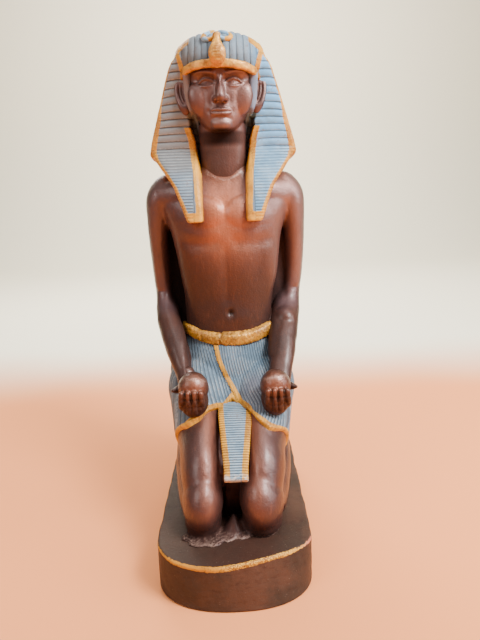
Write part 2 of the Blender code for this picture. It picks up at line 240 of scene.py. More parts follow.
@dataclass(frozen=True)
class BronzePaint:
    """Semi-gloss reddish bronze brushed over resin: dark wash and painted shade in the hollows, worn on the
    ridges.
    """

    name: str = "bronze"
    stroke: Row = (620.0, 620.0, 110.0)
    # deep: the dark of brush strokes and dark wash, and the painted shade of the hollows, creases and shade
    # marks
    deep: Colour = (0.010, 0.004, 0.003)
    body: Colour = (0.078, 0.029, 0.020)
    dull: Colour = (0.062, 0.027, 0.021)
    # warm: warm paint in the strokes and on the chest, and the painted glow where the pieces mark it
    warm: Colour = (0.560, 0.175, 0.078)
    worn: Colour = (0.600, 0.390, 0.310)
    # a paler pink laid as painted sheen where the light falls broadly
    painted_sheen: Colour = (0.330, 0.175, 0.140)
    plum: Colour = (0.096, 0.052, 0.056)
    metallic: float = 0.72
    coat: float = 0.50
    coat_roughness: float = 0.30
    relief: float = 0.00024

    def make(self) -> bpy.types.Material:
        """The paint, which reads the recess, ridge, warm paint and glow, plum, painted sheen, painted shade
        and trace marks.
        """
        g = Graph(self.name)
        strokes = g.noise(self.stroke, 3.0, 0.6)
        blotch = g.noise(62.0, 4.0)
        fine = g.noise(900.0, 3.0, 0.6)
        recess, ridge = g.mark("recess"), g.mark("ridge")
        warm_paint_and_glow, shade = g.mark("warm_paint_and_glow"), g.mark("shade")
        colour = g.mix(blotch.ease(0.36, 0.66), self.dull, self.body)
        # warm paint on the chest, and painted glow on the inner thighs and inside the elbows
        colour = g.mix(warm_paint_and_glow * (strokes * 0.5 + 0.52), colour, self.warm)
        colour = g.mix(g.mark("plum"), colour, self.plum)
        # painted sheen on the lit shoulder, arm, breast, brow, chin and cheek
        colour = g.mix(g.mark("painted_sheen") * (blotch * 0.8 + 0.6), colour, self.painted_sheen)
        colour = g.mix(strokes.ease(0.54, 0.74) * 0.08, colour, self.warm)
        colour = g.mix(strokes.ease(0.44, 0.24) * 0.10, colour, self.deep)
        # dark wash and painted shade in the hollows, from the recess mark
        colour = g.mix((recess + (blotch - 0.5) * 0.2).ease(0.48, 0.95) * 0.75, colour, self.deep)
        # painted shade where the pieces mark it
        colour = g.mix(shade, colour, self.deep)
        # dark wash and painted shade in the creases
        colour = g.mix(ridge.ease(-0.06, -0.32) * 0.8, colour, self.deep)
        colour = g.mix((ridge + (fine - 0.5) * 0.25).ease(0.16, 0.42) * 0.45, colour, self.worn)
        # pale traces: worn seams, smears and rims, and a painted highlight line along the foot of the knees
        trace = g.mark("trace") * (fine + blotch).ease(0.86, 1.04)
        colour = g.mix(trace, colour, self.worn)
        rough = 0.36 + strokes * 0.08 + recess * 0.20 + fine * 0.16 + shade * 0.5 + warm_paint_and_glow * 0.10
        g.surface(colour, rough, strokes * 0.10 + fine * 1.1 + blotch * 0.9, self.relief)
        g.set("Metallic", self.metallic)
        g.set("Coat Weight", (shade + recess * 0.8).ease(1.0, 0.1) * self.coat)
        g.set("Coat Roughness", self.coat_roughness)
        return g.material


@dataclass(frozen=True)
class ClothPaint:
    """Dusty blue with dark grooves and pale worn ridges, and brushed gold borders; painted shade and painted
    light lie on the blue where marked.
    """

    name: str
    groove_width: float = 0.55
    groove_depth: float = 0.80
    across_gold: float = 0.0
    wear: float = 0.5
    # light: how bright this copy's blues are painted; a copy below 1 is darkened as painted shade
    light: float = 1.0
    blue: Colour = (0.175, 0.365, 0.560)
    pale: Colour = (0.290, 0.500, 0.700)
    shaded: Colour = (0.235, 0.215, 0.185)
    # groove: the grooves' dark paint; the dim mark darkens toward it too, as painted shade in the channels
    # beside the neck
    groove: Colour = (0.035, 0.045, 0.055)
    gold: Colour = (0.660, 0.300, 0.022)
    ochre: Colour = (0.320, 0.120, 0.011)
    bright: Colour = (0.900, 0.560, 0.080)
    # vivid: a brighter, deeper blue laid on the lit side as painted light
    vivid: Colour = (0.150, 0.430, 0.760)
    under: Colour = (0.190, 0.090, 0.065)
    edge: Colour = (0.600, 0.620, 0.600)
    gold_groove: Colour = (0.130, 0.055, 0.020)
    chalk: Colour = (0.560, 0.500, 0.450)
    # the dark of the hollows: dark wash and painted shade
    grime_and_shade: Colour = (0.030, 0.020, 0.016)
    # the dark of the creases: dark wash and painted shade
    crease_wash_and_shade: Colour = (0.050, 0.035, 0.030)
    specular: float = 0.35
    relief: float = 0.00024

    def make(self) -> bpy.types.Material:
        """The paint, which reads every mark of the cloth, its stripes and its borders."""
        g = Graph(self.name)
        lit = [tuple(part * self.light for part in colour) for colour in (self.blue, self.pale, self.shaded)]
        blue, pale, shaded = lit
        blotch, fine, grit = g.noise(85.0, 4.0, 0.6), g.noise(700.0, 3.0, 0.6), g.noise(2200.0, 2.0)
        recess, ridge, pitch = g.mark("recess"), g.mark("ridge"), g.mark("pitch")
        gold = (g.mark("gold") + (fine - 0.5) * 0.9 + (blotch - 0.5) * 0.5).ease(-0.10, 0.16)
        off = (g.mark("phase").fraction() - 0.5) * pitch
        line = (off + (fine - 0.5) * 0.22).size().ease(self.groove_width, self.groove_width * 0.30)
        line = line * pitch.ease(0.0, 0.6)
        lip = (off - self.groove_width * 1.35).size().ease(self.groove_width * 0.9, 0.0)
        colour = g.mix(blotch.ease(0.34, 0.64), blue, pale)
        colour = g.mix(g.mark("side"), colour, shaded)
        # painted light: the brighter blue on the lit side
        colour = g.mix(g.mark("vivid") * blotch.ease(0.22, 0.52), colour, self.vivid)
        colour = g.mix((fine + blotch * 0.6).ease(0.90, 1.05) * 0.5, colour, self.under)
        colour = g.mix(g.mark("blush"), colour, self.under)
        worn = (lip * 0.55 + ridge.ease(0.10, 0.40)) * (fine + blotch).ease(0.88, 1.12) * self.wear
        colour = g.mix(worn, colour, self.edge)
        # darker where the dim mark says, with painted shade in the channels beside the neck
        colour = g.mix(g.mark("dim"), colour, self.groove)
        colour = g.mix(line * self.groove_depth * (1 - g.mark("soft")), colour, self.groove)
        trim = g.mix((blotch * 0.6 + fine * 0.4).ease(0.42, 0.62), self.gold, self.ochre)
        trim = g.mix((fine * 0.7 + grit * 0.4).ease(0.54, 0.72) * 0.45, trim, self.bright)
        trim = g.mix(line * self.across_gold, trim, self.gold_groove)
        colour = g.mix(gold, colour, trim)
        colour = g.mix(g.mark("chalk") * (fine + blotch).ease(0.84, 1.04), colour, self.chalk)
        # dark wash and painted shade in the hollows, from the recess mark
        colour = g.mix((recess + (blotch - 0.5) * 0.3).ease(0.50, 0.95) * 0.85, colour, self.grime_and_shade)
        # dark wash and painted shade in the creases
        colour = g.mix(ridge.ease(-0.14, -0.50) * 0.7, colour, self.crease_wash_and_shade)
        cut = line * (1 - gold * (1 - self.across_gold))
        rough = 0.52 + fine * 0.22 - gold * 0.16
        g.surface(colour, rough, fine * 0.25 + blotch * 0.4 - cut * 1.3, self.relief)
        g.set("Specular IOR Level", self.specular)
        return g.material


@dataclass(frozen=True)
class GoldPaint:
    """Hand-brushed gold with ochre patches, specks of grime, dark wash and painted shade in its hollows and
    creases, and bright worn high spots.
    """

    name: str = "gold"
    dirt: float = 0.12
    gold: Colour = (0.680, 0.310, 0.026)
    ochre: Colour = (0.360, 0.145, 0.015)
    bright: Colour = (0.920, 0.600, 0.120)
    # the dark of grime specks, and of dark wash and painted shade in the hollows and creases
    grime_and_shade: Colour = (0.050, 0.026, 0.014)
    metallic: float = 0.30
    coat: float = 0.10
    relief: float = 0.00020

    def make(self) -> bpy.types.Material:
        """The paint as a material."""
        g = Graph(self.name)
        blotch, fine, grit = g.noise(150.0, 4.0, 0.6), g.noise(800.0, 3.0, 0.6), g.noise(2400.0, 2.0)
        recess, ridge = g.mark("recess"), g.mark("ridge")
        colour = g.mix(blotch.ease(0.40, 0.62), self.gold, self.ochre)
        colour = g.mix((fine * 0.7 + grit * 0.4).ease(0.54, 0.76) * 0.35, colour, self.bright)
        colour = g.mix(ridge.ease(0.10, 0.45) * 0.35, colour, self.bright)
        colour = g.mix((fine + grit * 0.5).ease(0.70, 0.52) * self.dirt, colour, self.grime_and_shade)
        # dark wash and painted shade in the creases and hollows
        colour = g.mix(ridge.ease(-0.06, -0.34) * 0.75, colour, self.grime_and_shade)
        colour = g.mix(recess.ease(0.50, 0.95) * 0.85, colour, self.grime_and_shade)
        g.surface(colour, 0.36 + fine * 0.25, fine * 0.5 + blotch * 0.8, self.relief)
        g.set("Metallic", self.metallic)
        g.set("Coat Weight", self.coat)
        return g.material


@dataclass(frozen=True)
class PlinthPaint:
    """Dull brown over the plinth, with pale specks and a broken gold line along its front edge."""

    name: str = "plinth_brown"
    brown: Colour = (0.080, 0.037, 0.023)
    # grey: a greyer brown spread in blotches, and laid on the figure's right side as painted shade
    grey: Colour = (0.044, 0.026, 0.018)
    # dark: brush strokes and specks, and painted shade by the knees and in the hollows
    dark: Colour = (0.022, 0.006, 0.0035)
    gold: Colour = (0.500, 0.200, 0.012)
    ochre: Colour = (0.280, 0.095, 0.006)
    bright: Colour = (0.860, 0.480, 0.070)
    pink: Colour = (0.560, 0.170, 0.130)
    speck: Colour = (0.360, 0.290, 0.230)
    specular: float = 0.22
    relief: float = 0.00030

    def make(self) -> bpy.types.Material:
        """The paint, which reads the recess, rim, glitter, blush, shade and side marks; the shade and side
        marks lay painted shade, the recess mark dark wash and painted shade.
        """
        g = Graph(self.name)
        strokes, blotch = g.noise((160.0, 160.0, 420.0), 3.0, 0.6), g.noise(48.0, 4.0, 0.6)
        fine, grit = g.noise(620.0, 3.0, 0.6), g.noise(1700.0, 2.0)
        colour = g.mix(blotch.ease(0.36, 0.64), self.grey, self.brown)
        # painted shade: greyer on the figure's right side
        colour = g.mix(g.mark("side"), colour, self.grey)
        colour = g.mix(strokes.ease(0.48, 0.26) * 0.35, colour, self.dark)
        # painted shade by the knees
        colour = g.mix(g.mark("shade") * (0.6 + blotch * 0.6), colour, self.dark)
        colour = g.mix(grit.ease(0.70, 0.78) * 0.4, colour, self.speck)
        rim = (g.mark("rim") + (fine - 0.5) * 1.6 + (blotch - 0.5) * 1.6).ease(-0.15, 0.25)
        trim = g.mix(blotch.ease(0.42, 0.60), self.gold, self.ochre)
        trim = g.mix(grit.ease(0.46, 0.62) * g.mark("glitter") * 0.7, trim, self.bright)
        trim = g.mix((grit * 0.6 + fine * 0.4).ease(0.46, 0.34) * 0.7, trim, self.dark)
        trim = g.mix(g.mark("blush"), trim, self.pink)
        colour = g.mix(rim, colour, trim)
        # dark wash and painted shade in the hollows
        colour = g.mix(g.mark("recess").ease(0.55, 0.95) * 0.8, colour, self.dark)
        rough = 0.52 + fine * 0.2 - rim * 0.12
        g.surface(colour, rough, fine * 0.4 + strokes * 0.6 + grit * 0.15, self.relief)
        g.set("Specular IOR Level", self.specular)
        return g.material


@dataclass(frozen=True)
class StudioPaint:
    """The pale floor and backdrop."""

    name: str = "pale_floor"
    floor: Colour = (0.880, 0.300, 0.095)
    back: Colour = (0.930, 0.870, 0.700)

    def make(self) -> bpy.types.Material:
        """The paint as a material: warm near the statue, paler behind it."""
        g = Graph(self.name)
        blotch = g.noise(3.0, 2.0)
        depth = g.node("ShaderNodeSeparateXYZ", {0: g.places}, out="Y")
        colour = g.mix((depth + (blotch - 0.5) * 0.1).ease(0.20, 0.42), self.floor, self.back)
        g.surface(colour, 0.8 + blotch * 0.1, blotch, 0.0)
        return g.material


# ---------------------------------------------------------------- clay and skin


def smooth_rows(rows: Rows, steps: int = 6) -> list[list[float]]:
    """Rows of numbers, filled in with a Catmull-Rom curve through all of them.

    Args:
        rows: The rows to join, equally long.
        steps: How many rows each gap is filled to.

    Returns:
        The filled rows.
    """
    filled = []
    last = len(rows) - 1
    for i in range(last):
        around = [rows[max(i - 1, 0)], rows[i], rows[i + 1], rows[min(i + 2, last)]]
        for number in range(steps):
            t = number / steps
            filled.append([
                q + 0.5 * t * (r - p + t * (2 * p - 5 * q + 4 * r - s + t * (3 * (q - r) + s - p)))
                for p, q, r, s in zip(*around)
            ])
    filled.append(list(rows[last]))
    return filled


def oval(half_x: float, half_y: float, full_x: float, full_y: float, sides: int) -> list[tuple[float, float]]:
    """Points round an oval; a fullness below 1 squares it.

    Args:
        half_x: Half its width.
        half_y: Half its depth.
        full_x: Its fullness in width.
        full_y: Its fullness in depth.
        sides: The number of points.

    Returns:
        The points.
    """
    points = []
    for i in range(sides):
        across, along = math.cos(CIRCLE * i / sides), math.sin(CIRCLE * i / sides)
        x = half_x * math.copysign(abs(across) ** full_x, across)
        points.append((x, half_y * math.copysign(abs(along) ** full_y, along)))
    return points


def add_remesh(holder: bpy.types.Object, voxel: float) -> None:
    """Gives an object a skin of one grain all over.

    Args:
        holder: The object.
        voxel: The grain.
    """
    skin = holder.modifiers.new("skin", "REMESH")
    skin.mode = "VOXEL"
    skin.voxel_size = voxel


class Clay:
    """Closed forms that run into one another, in parts, until one skin is cast over them."""

    def __init__(self) -> None:
        """Starts with no form."""
        self.form = bmesh.new()

    def loft(self, rings: list[list[Vector]]) -> None:
        """Adds a closed form over rings with equally many points.

        Args:
            rings: The rings in order; the first and last are filled.
        """
        loops = []
        for ring in rings:
            made = bmesh.ops.create_circle(self.form, segments=len(ring), radius=1.0)["verts"]
            for vert, place in zip(made, ring):
                vert.co = place
            loops.append(list(dict.fromkeys(edge for vert in made for edge in vert.link_edges)))
        for low, high in zip(loops, loops[1:]):
            bmesh.ops.bridge_loops(self.form, edges=low + high)
        for end in (loops[0], loops[-1]):
            bmesh.ops.edgeloop_fill(self.form, edges=end)

    def levels(self, rows: Rows, fullness: float = 1.0, sides: int = 40) -> None:
        """Adds a trunk of level sections, each (height, half width, front, back).

        Args:
            rows: The sections from below upward.
            fullness: How square they are; 1 is an oval.
            sides: The number of points round each.
        """
        rings = []
        for z, half_width, front, back in smooth_rows(rows):
            outline = oval(half_width, (back - front) / 2, fullness, fullness, sides)
            rings.append([Vector((x, (front + back) / 2 + y, z)) for x, y in outline])
        self.loft(rings)

    def limb(
        self,
        rows: Rows,
        side: int = 1,
        round_ends: bool = True,
        fullness: tuple[float, float] = (1.0, 1.0),
        sides: int = 28,
        level: bool = False,
    ) -> None:
        """Adds a limb.

        Args:
            rows: Stations (x, y, z, radius across, radius up) along it.
            side: 1 for the figure's left, -1 for its right.
            round_ends: Whether its ends are domed.
            fullness: How square its section is, across and up.
            sides: The number of points round it.
            level: Whether the first radius is level and square to the line, for one that runs across.
        """
        filled = smooth_rows(rows)
        line = [Vector((side * row[0], row[1], row[2])) for row in filled]
        rings = []
        for i, row in enumerate(filled):
            ahead = (line[min(i + 1, len(line) - 1)] - line[max(i - 1, 0)]).normalized()
            across = Vector((ahead.y, -ahead.x, 0)) if level else Vector((1, 0, 0)) - ahead * ahead.x
            across.normalize()
            upward = ahead.cross(across)
            outline = oval(row[3], row[4], *fullness, sides)
            rings.append([line[i] + across * a + upward * b for a, b in outline])
        if round_ends:
            shares = (0.35, 0.7, 0.92)
            first = [self.dome(rings[0], rings[1], share) for share in shares]
            last = [self.dome(rings[-1], rings[-2], share) for share in reversed(shares)]
            rings = first + rings + last
        self.loft(rings)

    @staticmethod
    def dome(ring: list[Vector], inner: list[Vector], share: float) -> list[Vector]:
        """A smaller ring past the end of a limb, which rounds its cap.

        Args:
            ring: The limb's last ring.
            inner: The ring before it.
            share: The new ring's share of the size.

        Returns:
            The new ring.
        """
        middle = sum(ring, Vector()) / len(ring)
        before = sum(inner, Vector()) / len(inner)
        radius = min((point - middle).length for point in ring)
        outward = (middle - before).normalized() * radius * math.sqrt(1 - share * share)
        return [middle + (point - middle) * share + outward for point in ring]

    def ball(self, centre: Row, radii: Row, turns: Row = (0, 0, 0), side: int = 1) -> None:
        """Adds an ellipsoid, turned about X, then Y, then Z, in degrees, and mirrored for side -1.

        Args:
            centre: Its middle.
            radii: Its radii along its own axes.
            turns: Its turns.
            side: 1 for the figure's left, -1 for its right.
        """
        place = (
            Matrix.Translation((side * centre[0], centre[1], centre[2]))
            @ Matrix.Rotation(math.radians(side * turns[2]), 4, "Z")
            @ Matrix.Rotation(math.radians(side * turns[1]), 4, "Y")
            @ Matrix.Rotation(math.radians(turns[0]), 4, "X")
            @ Matrix.Diagonal((*radii, 1.0))
        )
        bmesh.ops.create_uvsphere(self.form, u_segments=32, v_segments=20, radius=1.0, matrix=place)

    def slab(self, rows: Rows, side: int = 1) -> None:
        """Adds a cloth end with round corners: rows of (inner x, outer x, front y, back y, z).

        Args:
            rows: Its level sections in order.
            side: 1 for the figure's left, -1 for its right.
        """
        rings = []
        for inner, outer, front, back, z in smooth_rows(rows):
            outline = oval(abs(outer - inner) / 2, (back - front) / 2, 0.35, 0.55, 40)
            middle = Vector((side * (inner + outer) / 2, (front + back) / 2, z))
            rings.append([middle + Vector((x, y, 0)) for x, y in outline])
        self.loft(rings)

    def harden(self) -> bpy.types.Mesh:
        """Makes a mesh of the forms, which are let go."""
        bmesh.ops.recalc_face_normals(self.form, faces=self.form.faces)
        mesh = bpy.data.meshes.new("clay")
        self.form.to_mesh(mesh)
        self.form.free()
        return mesh

    def cast(self, voxel: float, ease: int) -> Skin:
        """Casts one skin over the forms.

        Args:
            voxel: The skin's grain.
            ease: How many rounds its hollows are eased.

        Returns:
            The skin, with the forms let go.
        """
        rough = self.harden()
        holder = bpy.data.objects.new("clay", rough)
        bpy.context.scene.collection.objects.link(holder)
        add_remesh(holder, voxel)
        eased = holder.modifiers.new("eased", "SMOOTH")
        eased.factor = 0.5
        eased.iterations = ease
        graph = bpy.context.evaluated_depsgraph_get()
        mesh = bpy.data.meshes.new_from_object(holder.evaluated_get(graph))
        bpy.data.objects.remove(holder)
        bpy.data.meshes.remove(rough)
        return Skin(mesh)


def hump(distance: np.ndarray, width: float) -> np.ndarray:
    """A soft rise: 1 at no distance, falling off over the width."""
    return np.exp(-0.5 * (distance / width) ** 2)


def step(values: np.ndarray, start: float, end: float) -> np.ndarray:
    """A smooth step: 0 at start, 1 at end, either way round."""
    t = np.clip((values - start) / (end - start), 0, 1)
    return t * t * (3 - 2 * t)


def along(values: np.ndarray, table: Table) -> np.ndarray:
    """Reads a table of (place, value), in order of place, at many places."""
    return np.interp(values, [row[0] for row in table], [row[1] for row in table])


def in_row_frame(place: np.ndarray) -> np.ndarray:
    """Places given in parts above the plinth's top, in metres in the row's frame."""
    return place * PART + np.array((0, 0, PLINTH_TOP))


class Skin:
    """A cast mesh under the sculptor's hands, with its places and normals as arrays, in parts."""

    def __init__(self, mesh: bpy.types.Mesh) -> None:
        """Reads the mesh."""
        self.mesh = mesh
        self.count = len(mesh.vertices)
        ends = np.empty(2 * len(mesh.edges), np.int32)
        mesh.edges.foreach_get("vertices", ends)
        self.first, self.second = ends.reshape(-1, 2).T
        self.degree = np.maximum(np.bincount(ends, minlength=self.count), 1)
        place = np.empty(3 * self.count, np.float32)
        mesh.vertices.foreach_get("co", place)
        self.place = place.reshape(-1, 3).astype(np.float64)
        self.read_normals()

    def read_normals(self) -> None:
        """Reads the vertex normals anew."""
        normal = np.empty(3 * self.count, np.float32)
        self.mesh.vertex_normals.foreach_get("vector", normal)
        self.normal = normal.reshape(-1, 3).astype(np.float64)

    @property
    def x(self) -> np.ndarray:
        """Places to the figure's left."""
        return self.place[:, 0]

    @property
    def y(self) -> np.ndarray:
        """Places backward."""
        return self.place[:, 1]

    @property
    def z(self) -> np.ndarray:
        """Heights above the plinth's top."""
        return self.place[:, 2]

    def push(self, depth: np.ndarray) -> None:
        """Moves each place out along its normal.

        Args:
            depth: How far; below 0 it moves in.
        """
        self.place += self.normal * depth[:, None]
        self.mesh.vertices.foreach_set("co", self.place.astype(np.float32).ravel())
        self.mesh.update()
        self.read_normals()

    def slide(
        self, across: np.ndarray | float = 0.0, back: np.ndarray | float = 0.0, up: np.ndarray | float = 0.0
    ) -> None:
        """Moves each place by an amount, or by its own.

        Args:
            across: How far to the figure's left.
            back: How far backward.
            up: How far up.
        """
        self.place[:, 0] += across
        self.place[:, 1] += back
        self.place[:, 2] += up
        self.push(np.zeros(self.count))

    def neighbours(self, values: np.ndarray) -> np.ndarray:
        """The mean of a number over each vertex's neighbours.

        Args:
            values: The number at each vertex.

        Returns:
            The means.
        """
        total = np.bincount(self.first, values[self.second], self.count)
        total += np.bincount(self.second, values[self.first], self.count)
        return total / self.degree

    def even(self, values: np.ndarray, rounds: int) -> np.ndarray:
        """Spreads a number over the skin.

        Args:
            values: The number at each vertex.
            rounds: How often it is shared with the neighbours.

        Returns:
            The evened number.
        """
        for _ in range(rounds):
            values = 0.5 * values + 0.5 * self.neighbours(values)
        return values

    def bend(self, rounds: int) -> np.ndarray:
        """How the skin curves: above 0 on a ridge, below 0 in a groove.

        Args:
            rounds: How often the answer is evened.

        Returns:
            The curving at each vertex.
        """
        away = np.stack([self.neighbours(axis) for axis in self.place.T], axis=1) - self.place
        spacing = np.linalg.norm(self.place[self.first] - self.place[self.second], axis=1).mean()
        return self.even(-(away * self.normal).sum(axis=1) / spacing, rounds)

    def waver(self, size: float, seed: int) -> np.ndarray:
        """Smooth hand-made unevenness, from about -1 to 1, with waves of about that size.

        Args:
            size: The waves' length.
            seed: What the chance starts from.

        Returns:
            The unevenness at each vertex.
        """
        chance = np.random.default_rng(seed)
        total = np.zeros(self.count)
        for _ in range(7):
            way = chance.normal(size=3)
            way /= np.linalg.norm(way)
            pace = CIRCLE / (size * chance.uniform(0.7, 1.5))
            total += np.sin(self.place @ way * pace + chance.uniform(0, CIRCLE))
        return total / 3.2

    def gap(self, line: Rows) -> np.ndarray:
        """How far each place is from a line of points, joined smoothly.

        Args:
            line: The points in order.

        Returns:
            The distance of each vertex.
        """
        points = np.array(smooth_rows(line))
        nearest = np.full(self.count, np.inf)
        for start, end in zip(points, points[1:]):
            way = end - start
            share = np.clip((self.place - start) @ way / max(way @ way, 1e-9), 0, 1)
            nearest = np.minimum(nearest, np.linalg.norm(self.place - start - share[:, None] * way, axis=1))
        return nearest

    def seam(self, line: Rows, width: float) -> np.ndarray:
        """A soft rise along a line on the figure's left, and along its mirror image."""
        both = [tuple((side * x, y, z) for x, y, z in line) for side in (1, -1)]
        return sum(hump(self.gap(one), width) for one in both)

    def mark(self, name: str, values: np.ndarray | float) -> None:
        """Stores a number on the vertices for the paint to read.

        Args:
            name: What the paint knows it by.
            values: The number at each vertex, or one for all.
        """
        stored = self.mesh.attributes.get(name) or self.mesh.attributes.new(name, "FLOAT", "POINT")
        full = np.broadcast_to(np.asarray(values, np.float32), (self.count,))
        stored.data.foreach_set("value", np.ascontiguousarray(full))

    def finish(
        self, name: str, slot: Slot, paint: bpy.types.Material, shelter: Shelter, wear: float = 1.0
    ) -> bpy.types.Object:
        """Makes the piece of the finished skin.

        Args:
            name: The piece's name.
            slot: The record's slot that it takes its finish from; not used.
            paint: Its material.
            shelter: What says how shut in each place is.
            wear: How strongly its ridges and grooves show.

        Returns:
            The piece, riding on the casting's body in place of its node.
        """
        # the recess mark darkens shut-in places in every paint: dark wash and painted shade
        self.mark("recess", self.even(shelter.at(self.place), 10))
        self.mark("ridge", self.bend(2) * wear)
        self.mesh.vertices.foreach_set("co", in_row_frame(self.place).astype(np.float32).ravel())
        self.mesh.polygons.foreach_set("use_smooth", np.ones(len(self.mesh.polygons), bool))
        self.mesh.update()
        self.mesh.name = name
        self.mesh.materials.clear()
        self.mesh.materials.append(paint)
        piece = bpy.data.objects.new(name, self.mesh)
        bpy.context.scene.collection.objects.link(piece)
        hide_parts(NODE)
        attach(piece, BODY)
        triangles = sum(len(polygon.vertices) - 2 for polygon in self.mesh.polygons)
        LOG.info("%s: %d triangles", name, triangles)
        return piece


@dataclass
class Shelter:
    """How shut in each place of the casting is: the share of short rays off it that meet it again; the paints
    lay dark wash and painted shade where it is high.
    """

    voxel: float = 0.0024
    rays: int = 24
    reach: float = 0.032
    lift: float = 0.0006
    tree: KDTree | None = None
    shares: np.ndarray = field(default_factory=lambda: np.zeros(0))

    def measure(self, node: bpy.types.Object) -> Shelter:
        """Casts the rays off a coarse skin over the CAD node.

        Args:
            node: The CAD node's object.

        Returns:
            This shelter, ready to be read.
        """
        holder = bpy.data.objects.new("coarse", node.data.copy())
        bpy.context.scene.collection.objects.link(holder)
        add_remesh(holder, self.voxel)
        coarse = holder.evaluated_get(bpy.context.evaluated_depsgraph_get()).to_mesh()
        solid = BVHTree.FromPolygons(
            [vert.co.copy() for vert in coarse.vertices], [list(face.vertices) for face in coarse.polygons]
        )
        ways = self.directions()
        self.tree = KDTree(len(coarse.vertices))
        shares = []
        for vert in coarse.vertices:
            start = vert.co + vert.normal * self.lift
            met = 0
            for way in ways:
                out = way if way.dot(vert.normal) > 0 else -way
                met += solid.ray_cast(start, out, self.reach)[0] is not None
            shares.append(met / len(ways))
            self.tree.insert(vert.co, vert.index)
        self.tree.balance()
        self.shares = np.array(shares)
        bpy.data.objects.remove(holder)
        return self

    def directions(self) -> list[Vector]:
        """Directions spread evenly over a ball."""
        golden = math.pi * (3 - math.sqrt(5))
        found = []
        for i in range(self.rays):
            z = 1 - (2 * i + 1) / self.rays
            flat = math.sqrt(1 - z * z)
            found.append(Vector((flat * math.cos(golden * i), flat * math.sin(golden * i), z)))
        return found

    def at(self, place: np.ndarray) -> np.ndarray:
        """The share at places given in parts."""
        return self.shares[[self.tree.find(point)[1] for point in in_row_frame(place)]]


@dataclass(frozen=True)
class Sculpture:
    """A piece that is modelled in clay, cast, carved and painted; each sort models and carves its own."""

    name: str = "sculpture"
    slot: Slot = Slot.BRONZE
    voxel: float = 0.50
    ease: int = 3
    wear: float = 1.0

    def model(self) -> Clay:
        """Models the piece's forms.

        Returns:
            The clay that holds them.
        """
        raise NotImplementedError

    def cast(self, clay: Clay) -> Skin:
        """Casts the piece's skin over its forms.

        Args:
            clay: The clay that holds the forms.

        Returns:
            The skin, ready to be carved.
        """
        return clay.cast(self.voxel, self.ease)

    def carve(self, skin: Skin) -> None:
        """Cuts the piece's relief and stores what its paint reads.

        Args:
            skin: The cast skin.
        """
        raise NotImplementedError

    def build(self, shelter: Shelter, paint: bpy.types.Material) -> bpy.types.Object:
        """Makes the piece.

        Args:
            shelter: What says how shut in each place is.
            paint: Its material.

        Returns:
            The finished piece.
        """
        skin = self.cast(self.model())
        self.carve(skin)
        return skin.finish(self.name, self.slot, paint, shelter, self.wear)


# ---------------------------------------------------------------- the bare figure


@dataclass(frozen=True)
class Arm:
    """Shoulder, upper arm and forearm down to the wrist, and the dark web behind it."""

    line: Rows = (
        (36.5, 37, 185.5, 10.8, 12), (41.6, 37.5, 180, 9.6, 12.4), (44.0, 38.5, 167, 7.6, 11),
        (45.0, 40.5, 148, 6.4, 9.2), (44.6, 42, 131, 6.0, 8.4), (43.4, 41.5, 118, 6.3, 8.3),
        (42.0, 36, 109, 7.3, 8.0), (39.8, 26, 101, 7.8, 7.8), (34.6, 9, 87.5, 7.8, 7.2),
        (30.4, -3, 77.5, 6.2, 5.6), (28.0, -10, 72.0, 6.0, 4.8),
    )
    web: Rows = (
        (31.0, 43, 178, 13, 7), (32.0, 43, 150, 12, 4.5), (32.0, 43, 122, 12, 4.5), (32.0, 38, 98, 10, 6),
        (31.0, 22, 80, 7, 9), (29.0, 4, 70, 5.5, 9), (27.0, -8, 62, 5, 7),
    )

    def add(self, clay: Clay, side: int) -> None:
        """Adds one arm's forms."""
        clay.limb(self.line, side, sides=36)
        clay.limb(self.web, side)


